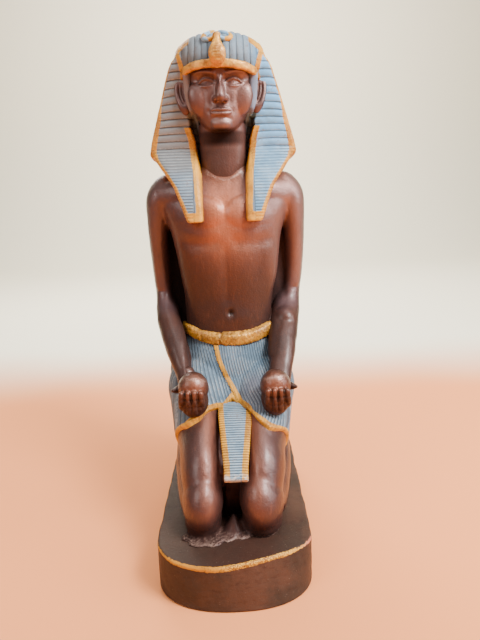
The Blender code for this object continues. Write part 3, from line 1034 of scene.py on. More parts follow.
@dataclass(frozen=True)
class Trunk(Sculpture):
    """The bare trunk from the seat to the neck's root, with both arms."""

    name: str = "trunk_and_arms"
    voxel: float = 0.90
    ease: int = 8
    sections: Rows = (
        (66, 34, 8, 62), (80, 32, 9, 60), (92, 30.2, 11.9, 56), (102, 28.9, 12.6, 53),
        (117, 28.8, 12.2, 51.5), (132, 30.8, 11.4, 53), (147, 33.2, 10.8, 56.5), (160, 36.0, 10.6, 59.5),
        (172, 40.5, 12.0, 60.5), (181, 43.5, 15.5, 58), (187, 41, 19.5, 55), (192, 31, 22, 52),
        (197, 19.5, 23.0, 50), (201, 15, 24, 49),
    )
    neck_arc: Rows = (
        (-15.5, 29.5, 205), (-13.6, 25.1, 200.1), (-8.2, 22.6, 193.8), (-0.2, 20.6, 190.8),
        (7.8, 22.4, 193.4), (13.5, 24.6, 199.5), (15.0, 29.0, 205),
    )
    left_elbow: Rows = (
        (40.6, 41, 114, 6, 7), (36.8, 27, 101, 8.4, 7.6), (32.8, 14, 90.6, 8, 6.8), (30, 4, 82.4, 6.4, 5.6),
    )
    elbow_fold: Rows = ((38, 33, 118), (42, 32, 120.5), (48, 38, 121))
    navel: Row = (1.2, 12.3, 109.0)
    breast_fold: float = 155.0

    def model(self) -> Clay:
        """Models chest, shoulder blades, collarbones, arms and the left elbow's fuller inside."""
        clay = Clay()
        clay.levels(self.sections, fullness=0.86, sides=56)
        for side in SIDES:
            clay.ball((15.5, 18.4, 170), (17.5, 7.0, 12.6), (-6, 0, 18), side)
            clay.ball((17, 50.8, 172), (16, 8, 18), (0, 0, -20), side)
            clay.limb(((6, 43, 201, 9, 7), (20, 42, 194.5, 9, 8), (35, 40, 187, 10, 9)), side)
            clay.limb(((14, 25, 178, 8, 9), (27, 26.5, 181, 8, 10), (38, 32, 182, 8, 10)), side)
            Arm().add(clay, side)
        clay.limb(((0, 26.0, 189, 11, 5), (0, 20.4, 176, 14, 6), (0, 17.4, 162, 13, 5.6)))
        clay.ball((38.6, 25, 99.5), (8.4, 10, 10.5))
        clay.limb(self.left_elbow)
        return clay

    def carve(self, skin: Skin) -> None:
        """Leans the forearms to the figure's left, cuts front, back and arms, and marks the tones."""
        lean = np.where(skin.x > 0, along(skin.y, LEFT_LEAN), along(skin.y, RIGHT_LEAN))
        skin.slide(lean * step(np.abs(skin.x), 25, 32) * step(skin.z, 135, 112))
        skin.push(
            self.front_relief(skin) + self.back_relief(skin) + self.arm_relief(skin)
            + 0.09 * skin.waver(11, 3) + 0.035 * skin.waver(3.5, 4)
        )
        self.mark_tones(skin)

    def front_relief(self, skin: Skin) -> np.ndarray:
        """The breastbone, belly line, breast fold, belly, navel and neck ring.

        Args:
            skin: The piece's skin.

        Returns:
            How far each place is pushed out.
        """
        x, z = skin.x, skin.z
        size = np.abs(x)
        front = step(skin.y, 34, 24) * step(size, 34, 28)
        depth = -0.35 * hump(x + 0.4, 2.6) * step(z, 152, 160) * step(z, 186, 176) * front
        depth -= 0.55 * hump(x + 0.7, 2.0) * step(z, 112, 118) * step(z, 158, 148) * front
        fold = self.breast_fold + 0.008 * (size - 14) ** 2
        depth -= 0.9 * hump(z - fold + 2.0, 3.0) * step(size, 0, 7) * step(size, 32, 25) * front
        depth += 0.5 * hump(z - fold - 5.0, 4.0) * step(size, 2, 10) * step(size, 30, 22) * front
        depth += 0.6 * hump(z - 136, 9) * hump(size - 11, 5) * front
        depth += 0.7 * hump(x, 15) * hump(z - 104, 7) * front
        hole = np.hypot(x - self.navel[0], (z - self.navel[2]) * 0.75)
        depth -= 2.3 * hump(hole, 1.15) * front
        depth += 0.5 * hump(np.hypot(x - 9, (z - 106) * 1.2), 4.5) * front
        depth += 1.6 * hump(x - 30, 4) * hump(z - 134, 18) * step(skin.y, 46, 38)
        ring = skin.gap(self.neck_arc)
        depth += 0.45 * hump(ring, 0.6)
        skin.mark("trace", 0.75 * hump(ring, 0.42))
        return depth

    def back_relief(self, skin: Skin) -> np.ndarray:
        """The line of the spine and the shoulder blades' lower edges.

        Args:
            skin: The piece's skin.

        Returns:
            How far each place is pushed out.
        """
        size, z = np.abs(skin.x), skin.z
        back = step(skin.y, 44, 50) * step(size, 30, 22)
        spine = hump(size, 2.2) * step(z, 88, 100) * step(z, 192, 176)
        blade = hump(np.hypot((size - 17) / 9, (z - 170) / 13) - 1.0, 0.13) * step(z, 184, 160)
        return -(1.1 * spine + 0.7 * blade) * back

    def arm_relief(self, skin: Skin) -> np.ndarray:
        """The folds inside the elbows, and the elbows' points."""
        point = np.hypot(np.abs(skin.x) - 43, skin.z - 114) + 0.7 * np.abs(skin.y - 50)
        return 0.9 * hump(point, 3.4) - 0.55 * skin.seam(self.elbow_fold, 1.0)

    def mark_tones(self, skin: Skin) -> None:
        """Marks the warm chest, the painted glow inside the elbows, the dark gaps behind the arms, the
        painted shade on the belly, the painted sheen on the lit left side and the cool sleeves.
        """
        x, y, z = skin.x, skin.y, skin.z
        size = np.abs(x)
        chest = hump(x, 13) * hump(z - 168, 19) * step(y, 30, 18)
        # painted glow inside the elbows
        arms = 0.3 * hump(size - 42, 4) * hump(z - 116, 6) * step(y, 42, 34)
        skin.mark("warm_paint_and_glow", chest + arms)
        gap = step(size, 26, 31) * step(size, 42, 38) * step(y, 27, 38) * step(y, 52, 46)
        gap *= step(z, 82, 92) * step(z, 176, 164)
        # painted shade on the belly
        belly = 0.22 * step(z, 154, 138) * step(y, 34, 24)
        skin.mark("shade", np.maximum(gap * (1 - 0.35 * step(x, -5, 5)), belly))
        # painted sheen where the light falls on the figure's left arm, shoulder and breast, and a little on
        # its right arm
        high = step(z, 112, 136) * step(y, 50, 38)
        lit = 0.50 * step(x, 22, 36) * high + 0.35 * hump(x - 20, 9) * hump(z - 166, 12)
        skin.mark("painted_sheen", lit + 0.16 * step(x, -28, -36) * high)
        sleeves = 0.85 * step(size, 27, 34) * step(z, 104, 112) * step(z, 194, 180)
        breast = 0.65 * step(z, 150, 158) * step(z, 196, 184) * step(size, 7, 17)
        skin.mark("plum", np.maximum(sleeves, breast))


@dataclass(frozen=True)
class Head(Sculpture):
    """Neck, face and ears, on the plain proportions of a drawing manual."""

    name: str = "head_and_neck"
    voxel: float = 0.46
    ease: int = 8
    wear: float = 0.6
    neck: Rows = (
        (188, 13.4, 23, 48), (196, 14.4, 21.6, 49), (208, 14.6, 21.2, 47), (224, 15.0, 20, 46),
    )
    skull: Rows = (
        (218.0, 4, 15.0, 24), (219.4, 7.5, 13.6, 30), (222, 10.8, 12.8, 36), (227, 14.7, 12.7, 42),
        (234, 18.0, 12.7, 44), (242, 19.9, 12.5, 44), (250, 20.5, 12.0, 44), (258, 20.0, 12.0, 44),
        (262, 16, 16, 42),
    )
    crown: float = 269.0
    chin: float = 218.6
    third: float = 14.7  # from hairline to brow, brow to nose base and nose base to chin
    eye_out: float = 8.2
    eye_half: float = 4.5
    mouth_half: float = 6.3
    ear: float = 239.5

    @property
    def eye_line(self) -> float:
        """The eyes' height: half way up the head."""
        return (self.crown + self.chin) / 2

    @property
    def nose_base(self) -> float:
        """The height of the nose's base: one third above the chin."""
        return self.chin + self.third

    def model(self) -> Clay:
        """Models neck, skull, nose, chin, cheeks and ears."""
        clay = Clay()
        clay.levels(self.neck, fullness=0.85)
        clay.levels(self.skull, fullness=0.88, sides=64)
        self.add_nose(clay)
        for side in SIDES:
            clay.ball((10.4, 18.9, 236.4), (8.6, 4.8, 11.0), (0, 16, -14), side)
            clay.ball((22.7, 25.0, self.ear), (4.4, 3.2, 11.5), (-12, 10, 0), side)
        return clay

    def add_nose(self, clay: Clay) -> None:
        """Adds the nose on the middle third, and the chin."""
        base = self.nose_base
        clay.limb((
            (0, 16.4, base + 17.0, 4.0, 3.2), (0, 14.4, base + 13.0, 3.0, 3.0),
            (0, 12.6, base + 9.0, 2.7, 3.1), (0, 11.0, base + 5.6, 2.7, 3.2),
            (0, 9.6, base + 2.6, 2.9, 3.1),
        ))
        for side in SIDES:
            clay.ball((2.9, 11.8, base + 1.8), (1.9, 2.8, 1.9), side=side)
        clay.ball((0, 14.6, self.chin + 3.4), (6.2, 3.3, 4.2))

    def carve(self, skin: Skin) -> None:
        """Cuts the eyes, brows, nostrils, lips and ears, and marks the tones."""
        size, z = np.abs(skin.x), skin.z
        face = step(skin.y, 24, 20) * step(skin.normal[:, 1], 0.1, -0.25)
        depth = self.eyes(size, z) * face + self.mouth(skin.x, z) * face
        base = self.nose_base
        nostril = np.hypot(size - 1.9, skin.y - 11.0)
        depth -= 0.9 * hump(nostril, 0.65) * hump(z - base, 1.3) * step(skin.normal[:, 2], -0.1, -0.5)
        depth -= 0.5 * hump(size - 5.2, 1.2) * hump(z - base - 0.8, 1.8) * face
        depth += self.ears(skin)
        depth += 0.05 * skin.waver(7, 5)
        skin.push(depth)
        self.mark_tones(skin)

    def mark_tones(self, skin: Skin) -> None:
        """Marks the warm cheeks, the painted shade under the chin and on the throat, and the painted sheen on
        the lit high spots.
        """
        x, y, z = skin.x, skin.y, skin.z
        skin.mark("warm_paint_and_glow", 0.18 * hump(np.abs(x) - 9, 6) * hump(z - 233, 8) * step(y, 26, 16))
        under = step(z, 220.5, 218) * step(z, 208, 213.5) * step(y, 36, 28)
        throat = 0.30 * step(z, 213, 207) * step(y, 36, 28)
        skin.mark("shade", np.maximum(0.9 * under * hump(x, 11), throat))
        skin.mark("plum", 0.35 * step(z, 216, 219))
        # painted sheen on the lit forehead, chin and the figure's left cheek
        lit = 0.30 * hump(z - self.crown + 9, 8) + 0.34 * hump(x, 7) * hump(z - self.chin - 4, 5)
        lit += 0.26 * hump(x - 13, 6) * hump(z - 236, 12)
        skin.mark("painted_sheen", lit * step(y, 30, 22))

    def mouth(self, x: np.ndarray, z: np.ndarray) -> np.ndarray:
        """The relief of the lips, a third of the way from the nose's base to the chin.

        Args:
            x: Places to the figure's left.
            z: Heights.

        Returns:
            How far each place is pushed out.
        """
        half = self.mouth_half
        share = np.clip(1 - (x / half) ** 2, 0, 1)
        up = z - (self.nose_base - 5.2 + 0.012 * x ** 2)
        upper = 0.4 + 2.1 * share ** 0.8 - 0.35 * hump(x, 1.0)
        lower = 0.4 + 2.7 * share ** 0.6
        part = np.where(up > 0, np.clip(up / upper, 0, 1), np.clip(-up / lower, 0, 1))
        bulge = (1 - (2 * part - 1) ** 2) ** 0.7 * np.where(up > 0, 1.0, 1.2)
        depth = (1.25 * bulge * share ** 0.4 + 0.45 * share * hump(up, 1.1)) * (np.abs(x) < half)
        depth += 0.9 * np.exp(-((x / 9.0) ** 2) - ((up - 0.5) / 5.5) ** 2)
        depth -= 0.30 * hump(up, 0.35) * step(np.abs(x), half + 0.4, half - 1.4)
        depth -= 0.35 * hump(np.hypot(np.abs(x) - half - 0.3, up), 1.0)
        depth -= 0.45 * hump(up + 4.1, 1.0) * step(np.abs(x), 7, 3)
        depth -= 0.25 * hump(x, 0.9) * hump(up - 3.4, 1.0)
        return depth

    def eyes(self, size: np.ndarray, z: np.ndarray) -> np.ndarray:
        """The relief of sockets, eyeballs, lids and brows, in front of the face.

        Args:
            size: Distances from the face's middle.
            z: Heights.

        Returns:
            How far each place is pushed out.
        """
        out = size - self.eye_out
        up = z - self.eye_line - 0.04 * out
        arch = np.clip(1 - (out / self.eye_half) ** 2, 0, None)
        upper, lower = 1.7 * arch, -1.2 * arch
        inside = np.where(np.abs(out) < self.eye_half, np.minimum(upper - up, up - lower), OUTSIDE)
        outside = np.hypot(np.maximum(np.abs(out) - self.eye_half, 0), np.maximum(up - upper, lower - up))
        depth = -2.9 * np.exp(-((out / 6.4) ** 2) - ((up - 1.0) / 3.2) ** 2)
        depth -= 0.9 * hump(np.hypot(size - 3.6, up - 1.2), 1.6)
        depth += 2.3 * np.exp(-((out / 4.3) ** 2) - (up / 2.5) ** 2)
        depth -= 0.75 * step(inside, -0.1, 0.35)
        depth += 0.55 * hump(outside - 0.75, 0.42) * (inside < 0.0) * (up > 0)
        depth += 0.30 * hump(outside - 0.6, 0.40) * (inside < 0.0) * (up <= 0)
        depth -= 0.7 * hump(up - upper - 1.9, 0.38) * step(np.abs(out), 5.8, 4.0) * (up > 0)
        depth += 1.2 * hump(z - self.brow(size), 0.8) * step(size, 1.8, 4.0) * step(size, 17.0, 12.5)
        return depth

    def brow(self, size: np.ndarray) -> np.ndarray:
        """The brow's height at a distance from the face's middle."""
        return self.chin + 2 * self.third + 0.3 + 1.5 * np.sin(np.clip((size - 2) / 15, 0, 1) * math.pi * 0.8)

    def ears(self, skin: Skin) -> np.ndarray:
        """The relief of the ears' rims and hollows.

        Args:
            skin: The piece's skin.

        Returns:
            How far each place is pushed out.
        """
        size, z = np.abs(skin.x), skin.z
        here = step(skin.y, 29, 26) * step(size, 18.6, 19.8) * step(skin.normal[:, 1], 0.2, -0.2)
        up = z - self.ear
        across = size - 22.7 - 0.18 * up
        ring = np.hypot(across / 4.3, (up - 0.6) / 10.6)
        depth = -1.5 * step(ring, 0.66, 0.40) * step(up, -9, -5)
        depth += 0.55 * hump(ring - 0.84, 0.10) * step(up, -10, -5)
        fold = np.hypot((across + 0.5) / 2.0, (up - 1.5) / 6.0)
        depth += 0.8 * hump(fold - 0.72, 0.14) * step(across, -1.2, 0.4)
        depth += 0.7 * hump(np.hypot(across + 3.1, up + 2), 1.2)
        return depth * here


@dataclass(frozen=True)
class Hand(Sculpture):
    """One hand, palm up, that holds a round jar behind four curled fingers."""

    side: int = 1
    voxel: float = 0.42
    jar: Row = (24.0, -20.0, 72.0)
    jar_radius: float = 9.0
    fingers: int = 4
    pitch: float = 3.7
    outward: float = 0.7

    def finger_places(self) -> list[float]:
        """How far each finger lies from the jar's middle, outward."""
        middle = (self.fingers - 1) / 2
        return [self.outward + (finger - middle) * self.pitch for finger in range(self.fingers)]

    def model(self) -> Clay:
        """Models jar, wrist, palm, fingers and thumb."""
        clay = Clay()
        side = self.side
        x, y, z = self.jar
        clay.ball((x, y, z), (self.jar_radius, self.jar_radius, self.jar_radius + 0.6), side=side)
        clay.limb((
            (29.4, -5.5, 76.0, 5.6, 4.8), (27.6, -9, 70, 6.4, 5.0), (25.4, -14, 65.0, 7.6, 5.4),
            (x, -19, 63.4, 7.2, 5.2),
        ), side)
        clay.ball((x, -20.6, 64.4), (8.6, 9.9, 10.2), side=side)
        for number, out in enumerate(self.finger_places()):
            hug = math.sqrt(1 - (out / 11.5) ** 2)
            reach = 9.0 - 2.2 * abs(number - 1.3)
            rows = []
            for turn in (-95, -70, -45, -20, 0, reach):
                angle = math.radians(turn)
                tip = turn > -10
                rows.append((
                    x + out * (1 - 0.10 * math.sin(angle)), y - 9.5 * hug * math.cos(angle),
                    z - 1.6 + 11.6 * math.sin(angle) * hug, 1.95 - 0.2 * tip, 2.1 - 0.3 * tip,
                ))
            clay.limb(tuple(rows), side, sides=20)
        clay.limb((
            (x + 5.5, -9, 66.5, 3.2, 3.2), (x + 8.6, -14, 69.0, 2.7, 2.7),
            (x + 10.6, -17.5, 70.0, 2.0, 2.0), (x + 12.2, -19, 70.2, 1.1, 1.1),
        ), side)
        return clay

    def carve(self, skin: Skin) -> None:
        """Cuts between the fingers and across their joints, rings the jar's shoulder, marks the jar's warm
        tint and the painted shade on the fingers, and leans the hand.
        """
        x, z = self.side * skin.x - self.jar[0], skin.z
        front = step(skin.y, -25, -27.5)
        places = self.finger_places()
        depth = np.zeros(skin.count)
        for low, high in zip(places, places[1:]):
            depth -= 0.75 * hump(x - (low + high) / 2, 0.45) * front * step(z, 73.5, 71.5) * step(z, 58, 61)
        depth -= 0.30 * (hump(z - 63.4, 0.5) + hump(z - 68.4, 0.45)) * front
        depth += 0.06 * skin.waver(6, 6) + 0.05 * skin.waver(2.2, 16)
        skin.push(depth)
        skin.mark("warm_paint_and_glow", 0.40 * hump(x + 1, 5) * hump(z - 74, 6) * step(skin.y, -18, -25))
        # painted shade on the curled fingers
        skin.mark("shade", 0.40 * step(z, 73, 69) * step(skin.y, -15, -22))
        rim = np.hypot(x + 0.8, skin.y + 17.5) - 8.4
        skin.mark("trace", 0.35 * hump(rim, 0.5) * step(z, 70, 72) * step(skin.normal[:, 2], 0.2, 0.6))
        skin.slide(along(skin.y, LEFT_LEAN if self.side > 0 else RIGHT_LEAN))


@dataclass(frozen=True)
class Legs(Sculpture):
    """The folded legs on their knees and tucked toes, the fill between them and the resin rise."""

    name: str = "legs_and_feet"
    voxel: float = 0.96
    ease: int = 4
    thigh: Rows = (
        (17.0, -44.0, 23.0, 10.8, 12.6), (18.2, -36, 29.6, 11.8, 15.0), (19.2, -22, 38.2, 12.6, 15.9),
        (20.0, 0, 49.5, 16.6, 17.2), (20.5, 20, 60, 17.6, 17.6), (19.5, 36, 63, 16.4, 17.4),
    )
    shin: Rows = (
        (18.5, -44, 12.0, 11.0, 12), (20.6, -30, 13.5, 12.2, 13), (22.6, -8, 19.5, 13.6, 14),
        (23.0, 16, 25, 13.6, 15), (22.0, 36, 29, 11.6, 13.5), (20.8, 50, 32, 9.4, 11),
    )
    foot: Rows = (
        (20.4, 57, 46, 8.8, 8), (20.6, 58.5, 36, 9.2, 10), (20.8, 61, 22, 10.2, 8),
        (20.8, 61.5, 10, 11.2, 7.4), (20.8, 55, 4.5, 11.4, 5.4), (20.8, 46, 3, 11.0, 4.4),
    )
    knee_edge: Rows = ((29.0, -20, 38), (29.6, -34, 30), (28.6, -46, 20), (26.6, -52, 10))
    smears: Rows = (
        (-24, -57, 5.5, 0.9), (-19, -61.5, 6.0, 1.1), (-12, -61.5, 6.0, 0.9), (-5, -58, 6.5, 1.1),
        (4, -56, 6.5, 0.9),
    )
    toes: int = 5

    def model(self) -> Clay:
        """Models thighs, knees, shins, feet, toes, the fill between the legs and the resin."""
        clay = Clay()
        for side in SIDES:
            clay.limb(self.thigh, side, sides=40)
            inward = 1.4 * (side > 0)
            clay.ball((17.1 - inward, -47.9, 17.5), (11.4 + 0.7 * inward, 14.0, 17.6), (-38, 0, 0), side)
            clay.ball((17.2 - inward, -48.2, 6.4), (10.4 + 0.7 * inward, 12.6, 14.0), side=side)
            clay.limb(self.shin, side, sides=36)
            clay.slab((
                (6, 27, -46, 58, -2.0), (8, 28, -44, 59, 8.0), (9, 29, -30, 60, 18.0), (10, 29, 0, 60, 28.0),
            ), side)
            clay.limb(self.foot, side)
            for toe in range(self.toes):
                out = 12.4 + toe * 4.1
                clay.limb((
                    (out, 62, 7.5, 2.5, 3.4), (out, 56.5, 2.6, 2.3, 2.4), (out, 50, 2.0, 2.1, 2.0),
                ), side)
        clay.slab((
            (-8.0, 8.0, -40.0, 50.0, -2.0), (-8.0, 8.0, -41.0, 54.0, 16.0), (-9.0, 9.0, -44.0, 54.0, 32.0),
            (-10.0, 10.0, -32.0, 50.0, 42.0), (-10.0, 10.0, -8.0, 50.0, 52.0),
        ))
        self.add_resin(clay)
        return clay

    def add_resin(self, clay: Clay) -> None:
        """Adds the pointed rise between the knees and the smear left at their feet."""
        clay.limb(((0, -53, -3.0, 12, 7), (0, -52, 1.0, 6.8, 5.4), (0, -50, 6.8, 2.0, 2.4)))
        for x, y, wide, high in self.smears:
            clay.ball((x, y, 0), (wide, wide * 0.7, high))

    def carve(self, skin: Skin) -> None:
        """Slopes the thighs outward, shapes kneecaps and shin edges, and marks the painted glow on the inner
        thighs and the painted shade low on the knees and between them.
        """
        size, y, z = np.abs(skin.x), skin.y, skin.z
        skin.slide(up=-3.2 * step(size, 11, 31) * step(y, -4, -18) * np.clip(z / 34, 0, 1))
        cap = np.hypot((size - 15.0) / 7.5, (z - 18) / 11)
        depth = 0.5 * hump(cap, 0.7) * step(y, -42, -62)
        depth -= 0.45 * hump(size - 19, 1.3) * step(z, 30, 36) * step(y, 40, 52)
        depth += 0.10 * skin.waver(13, 7) + 0.04 * skin.waver(4, 8)
        low = step(z, 2.6, 1.2) * step(y, -40, -50)
        depth += (0.30 * skin.waver(4.2, 9) + 0.15 * skin.waver(1.9, 19)) * low
        skin.push(depth)
        smear = 0.22 * low * hump(skin.waver(3.0, 29) - 0.1, 0.12)
        # painted highlight: a pale line along the foot of the knees
        foot_line = 0.30 * hump(z - 0.5, 0.25) * step(y, -30, -44)
        skin.mark("trace", 0.5 * skin.seam(self.knee_edge, 0.35) + smear + foot_line)
        # painted glow on the inner thighs
        skin.mark("warm_paint_and_glow", 0.40 * hump(size - 12.6, 3.5) * step(y, -10, -26) * step(z, 6, 22))
        skin.mark("plum", 0.30 * step(z, 60, 40))
        rise = step(size, 8.5, 6.0) * step(y, -42, -47) * step(z, 14, 11)
        foot = 0.65 * step(z, 17, 2) * step(y, -30, -44) * step(size, 8, 11)
        skin.mark("shade", np.maximum(foot, 0.3 * np.maximum(rise, low)))


# ---------------------------------------------------------------- the cloth


@dataclass(frozen=True)
class Headdress(Sculpture):
    """The striped cloth: crown, wings, lappets, temple tabs and tail."""

    name: str = "headdress"
    slot: Slot = Slot.BLUE
    voxel: float = 0.63
    ease: int = 4
    seam: float = 6.0
    broad_pitch: float = 4.2
    fine_pitch: float = 1.8
    corner: float = 206.5
    stripe_change: float = 210.0
    crown: Rows = (
        (252, 25.6, 12.6, 62), (254, 27.0, 11.0, 62), (257, 28.0, 10.2, 62), (260, 28.4, 10.4, 60.5),
        (264, 27.0, 11.4, 58), (268.5, 23.4, 14.2, 52), (272, 17, 18.4, 46), (274, 7, 25, 38),
    )
    wings: Rows = (
        (193, 24, 33, 60), (198, 34, 30, 63), (202.5, 41.8, 27.8, 64.5), (206.5, 45.4, 26.8, 65),
        (211, 45.0, 26.2, 65), (219, 42.8, 25.6, 64.5), (232, 38.6, 24.8, 64), (246, 34, 23.6, 63),
        (256, 30, 21, 62), (262, 25, 22, 58), (266, 18, 26, 50),
    )
    lappet: Rows = (
        (15.0, 41.0, 30.0, 42.0, 215), (14.0, 43.4, 26.0, 40.0, 208.5), (13.8, 42.2, 22.6, 37.0, 204),
        (13.6, 36.8, 16.4, 36.0, 196), (13.2, 30.4, 11.0, 25.0, 186.5), (13.0, 26.0, 7.2, 19.0, 175.5),
        (13.0, 22.8, 5.6, 16.0, 167), (13.8, 21.8, 5.6, 15.0, 165.8),
    )
    inner_edge: Table = (
        (164, 12.8), (176, 13.1), (187, 13.8), (195, 14.3), (203, 15.6), (215, 17.1), (222.5, 19.4),
        (232, 20.4),
    )
    tail: Rows = (
        (-8.5, 8.5, 54.0, 67.5, 206), (-7.6, 7.6, 53.0, 67.0, 192), (-6.0, 6.0, 50.0, 65.4, 172),
        (-4.8, 4.8, 46.0, 62.0, 152), (-4.2, 4.2, 46.0, 60.5, 150.4),
    )

    def model(self) -> Clay:
        """Models crown, wings, temple tabs, lappets and tail."""
        clay = Clay()
        clay.levels(self.crown, sides=64)
        self.add_wings(clay)
        for side, wide in zip(SIDES, (2.2, 2.7)):
            clay.limb((
                (19.4, 18.6, 251, wide, 1.6), (19.2, 19.4, 243, wide, 1.6), (17.8, 20.0, 233, wide, 1.6),
                (15.2, 20.8, 226, wide * 0.7, 1.4), (13.6, 21.4, 219.5, wide * 0.45, 1.2),
            ), side)
            clay.slab(self.lappet, side)
        clay.slab(self.tail)
        return clay

    def carve(self, skin: Skin) -> None:
        """Cuts the channels beside the neck, the broken lappet end and the pleats, and marks the paint."""
        size, z = np.abs(skin.x), skin.z
        channel = step(size - along(z, self.inner_edge), 0.2, -1.0) * step(z, 193, 196) * step(z, 231, 226)
        skin.slide(back=9.0 * channel * step(skin.y, 34, 32))
        ragged = step(skin.x, -15, -19) * step(z, 170, 166.5) * skin.waver(5.5, 61)
        skin.push(-0.8 * np.maximum(ragged, 0))
        self.cut_pleats(skin)

    def add_wings(self, clay: Clay) -> None:
        """Adds the cloth that flares behind the ears: flat in front, round behind."""
        rings = []
        for z, half_width, front, back in smooth_rows(self.wings):
            seam = front + self.seam
            ring = []
            for x, y in oval(half_width, 1.0, 1.0, 1.0, 80):
                depth = (back - seam) * y if y > 0 else -self.seam * abs(y) ** 0.35
                ring.append(Vector((x, seam + depth, z)))
            rings.append(ring)
        clay.loft(rings)

    def fold(self, skin: Skin) -> np.ndarray:
        """How far each place is outside the fold between the crown and the wings, along x.

        Args:
            skin: The piece's skin.

        Returns:
            The distance; below 0 the place is on the crown.
        """
        y, z = skin.y, skin.z
        front = along(z, ((245, 18.0), (249, 19.4), (257, 21.4), (263, 23.2), (270, 24)))
        behind = along(z, ((200, 5.0), (235, 6.5), (255, 12.0), (265, 18.0)))
        blend = step(y, 20, 58)
        return np.abs(skin.x) - (front * (1 - blend) + behind * blend)

    def cut_pleats(self, skin: Skin) -> None:
        """Cuts the pleats and stores the stripes, the borders, the painted shade on the shaded side and in
        the channels, and the painted light on the lit wing.
        """
        x, y, z = skin.x.copy(), skin.y.copy(), skin.z.copy()
        size = np.abs(x)
        fold = self.fold(skin)
        crown = (fold < 0) & (z > 150)
        half = along(z, tuple((row[0], row[1]) for row in self.wings))
        height = z - self.stripe_change + 0.04 * (size - 30) * step(z, 210, 226) + 0.35 * np.sin(size * 0.16)
        height += 0.35 * skin.waver(26, 62)
        fine = z < self.stripe_change
        fine_rows = (z - self.stripe_change) / self.fine_pitch
        wing_phase = np.where(fine, fine_rows, height / self.broad_pitch) + 0.5
        spread = 1 - 0.30 * step(y, 12, 62)
        crown_phase = x / (self.broad_pitch * 0.96 * spread)
        tail = crown & (y > 46) & (z < 212)
        phase = np.where(crown & ~tail, crown_phase, np.where(tail, z / self.fine_pitch, wing_phase))
        pitch = np.where((fine & ~crown) | tail, self.fine_pitch, self.broad_pitch)
        gold = self.gold_borders(skin, fold, half)
        off = (np.mod(phase, 1) - 0.5) * pitch
        broad = (pitch > 3) & (gold < -0.3) & ~((size < 22.2) & (y < 24) & (z < 251))
        depth = -(0.42 + 0.12 * skin.waver(9, 64)) * hump(off, 0.40) * broad
        depth -= 0.08 * np.cos(off / pitch * CIRCLE) * broad
        depth += 0.45 * step(np.abs(fold - 1.7), 2.2, 1.2) * step(z, 251, 253) * step(y, 46, 34)
        depth += 0.10 * skin.waver(12, 11) + 0.05 * skin.waver(4, 12)
        skin.push(depth)
        skin.mark("phase", phase)
        tab = step(np.abs(size - 17.8), 4.6, 3.6) * step(y, 24.5, 22.5)
        tab *= step(z, 252, 249) * step(z, 217, 220)
        skin.mark("pitch", pitch * ((gold < 1.2) | (pitch < 3)) * (tab < 0.3))
        wing_soft = np.where(fine, 0.45, 0.15 + 0.3 * step(x, -5, 15))
        skin.mark("soft", np.clip(np.where(crown, 0.62, wing_soft) + 0.25 * skin.waver(14, 63), 0, 1))
        skin.mark("gold", gold)
        inner = size - along(z, self.inner_edge)
        # painted shade in the channels beside the neck
        hollow = 0.85 * step(inner, 0.4, -0.6) * step(z, 228, 224) * (y > 25) * (z > 190)
        skin.mark("dim", np.maximum(np.where(crown, 0.40, np.where(fine, 0.16, 0.06)), hollow))
        # painted shade on the figure's right side and on the crown
        side = step(x, 12, -22) * (0.85 - 0.35 * step(z, 200, 190))
        skin.mark("side", np.maximum(side, 0.45 * crown))
        skin.mark("blush", 0.55 * tab)
        # painted light: a brighter blue on the lit lower wing on the figure's left
        skin.mark("vivid", 0.9 * step(x, 14, 26) * step(z, 206, 222) * (1 - hollow))

    def gold_borders(self, skin: Skin, fold: np.ndarray, half: np.ndarray) -> np.ndarray:
        """How deep each place lies inside a gold border; below 0 it lies outside.

        Args:
            skin: The cloth's skin.
            fold: How far each place is outside the fold.
            half: The wings' half width at each place's height.

        Returns:
            The depth inside the nearest border.
        """
        x, y, z = skin.x, skin.y, skin.z
        size = np.abs(x)
        front = step(y, 36, 34) > 0.5
        width = along(z, ((196, 2.6), (204, 3.0), (208, 4.2), (226, 3.2), (236, 1.4), (262, 0.8)))
        wing = np.where(front & (z > self.corner - 2), width - (half - size) * 0.94, OUTSIDE)
        band = along(y, ((20, 3.2), (40, 2.2), (60, 1.2)))
        crease = np.where(z > 250.5, band / 2 - np.abs(fold - band / 2), OUTSIDE)
        outer = along(z, tuple(sorted((row[4], row[1]) for row in self.lappet)))
        low = z < self.corner + 1
        hanging = np.where(low & front, 2.4 - (outer - size) * 0.86, OUTSIDE)
        past = size - along(z, self.inner_edge)
        inside = np.where((z < 222.5) & (z > 160) & (y < 31.5) & (past > -2.5), 3.9 - past, OUTSIDE)
        hem = np.where(low & front, 6.2 - (z - 165.4), OUTSIDE)
        return np.maximum.reduce([wing, crease, hanging, inside, hem])


@dataclass(frozen=True)
class BrowBand(Sculpture):
    """The gold band over the brow."""

    name: str = "brow_band"
    slot: Slot = Slot.GOLD
    voxel: float = 0.42
    ease: int = 2
    tilt: float = -0.03
    line: Rows = (
        (-24.0, 30, 248.6, 1.4, 1.9), (-21.6, 22, 250.1, 1.4, 2.1), (-18.4, 15.8, 251.4, 1.5, 2.2),
        (-11, 11.2, 252.7, 1.5, 2.3), (0, 9.9, 253.2, 1.5, 2.3), (11, 11.2, 252.7, 1.5, 2.3),
        (18.4, 15.8, 251.4, 1.5, 2.3), (21.6, 22, 250.1, 1.4, 2.1), (24.0, 30, 248.6, 1.4, 1.9),
    )

    def model(self) -> Clay:
        """Models the band, tilted as it sits."""
        clay = Clay()
        tilted = tuple((row[0], row[1], row[2] + self.tilt * row[0], row[3], row[4]) for row in self.line)
        clay.limb(tilted, fullness=(0.6, 0.6), level=True)
        return clay

    def carve(self, skin: Skin) -> None:
        """Makes the band uneven."""
        skin.push(0.12 * skin.waver(3.5, 14) + 0.06 * skin.waver(1.6, 13))


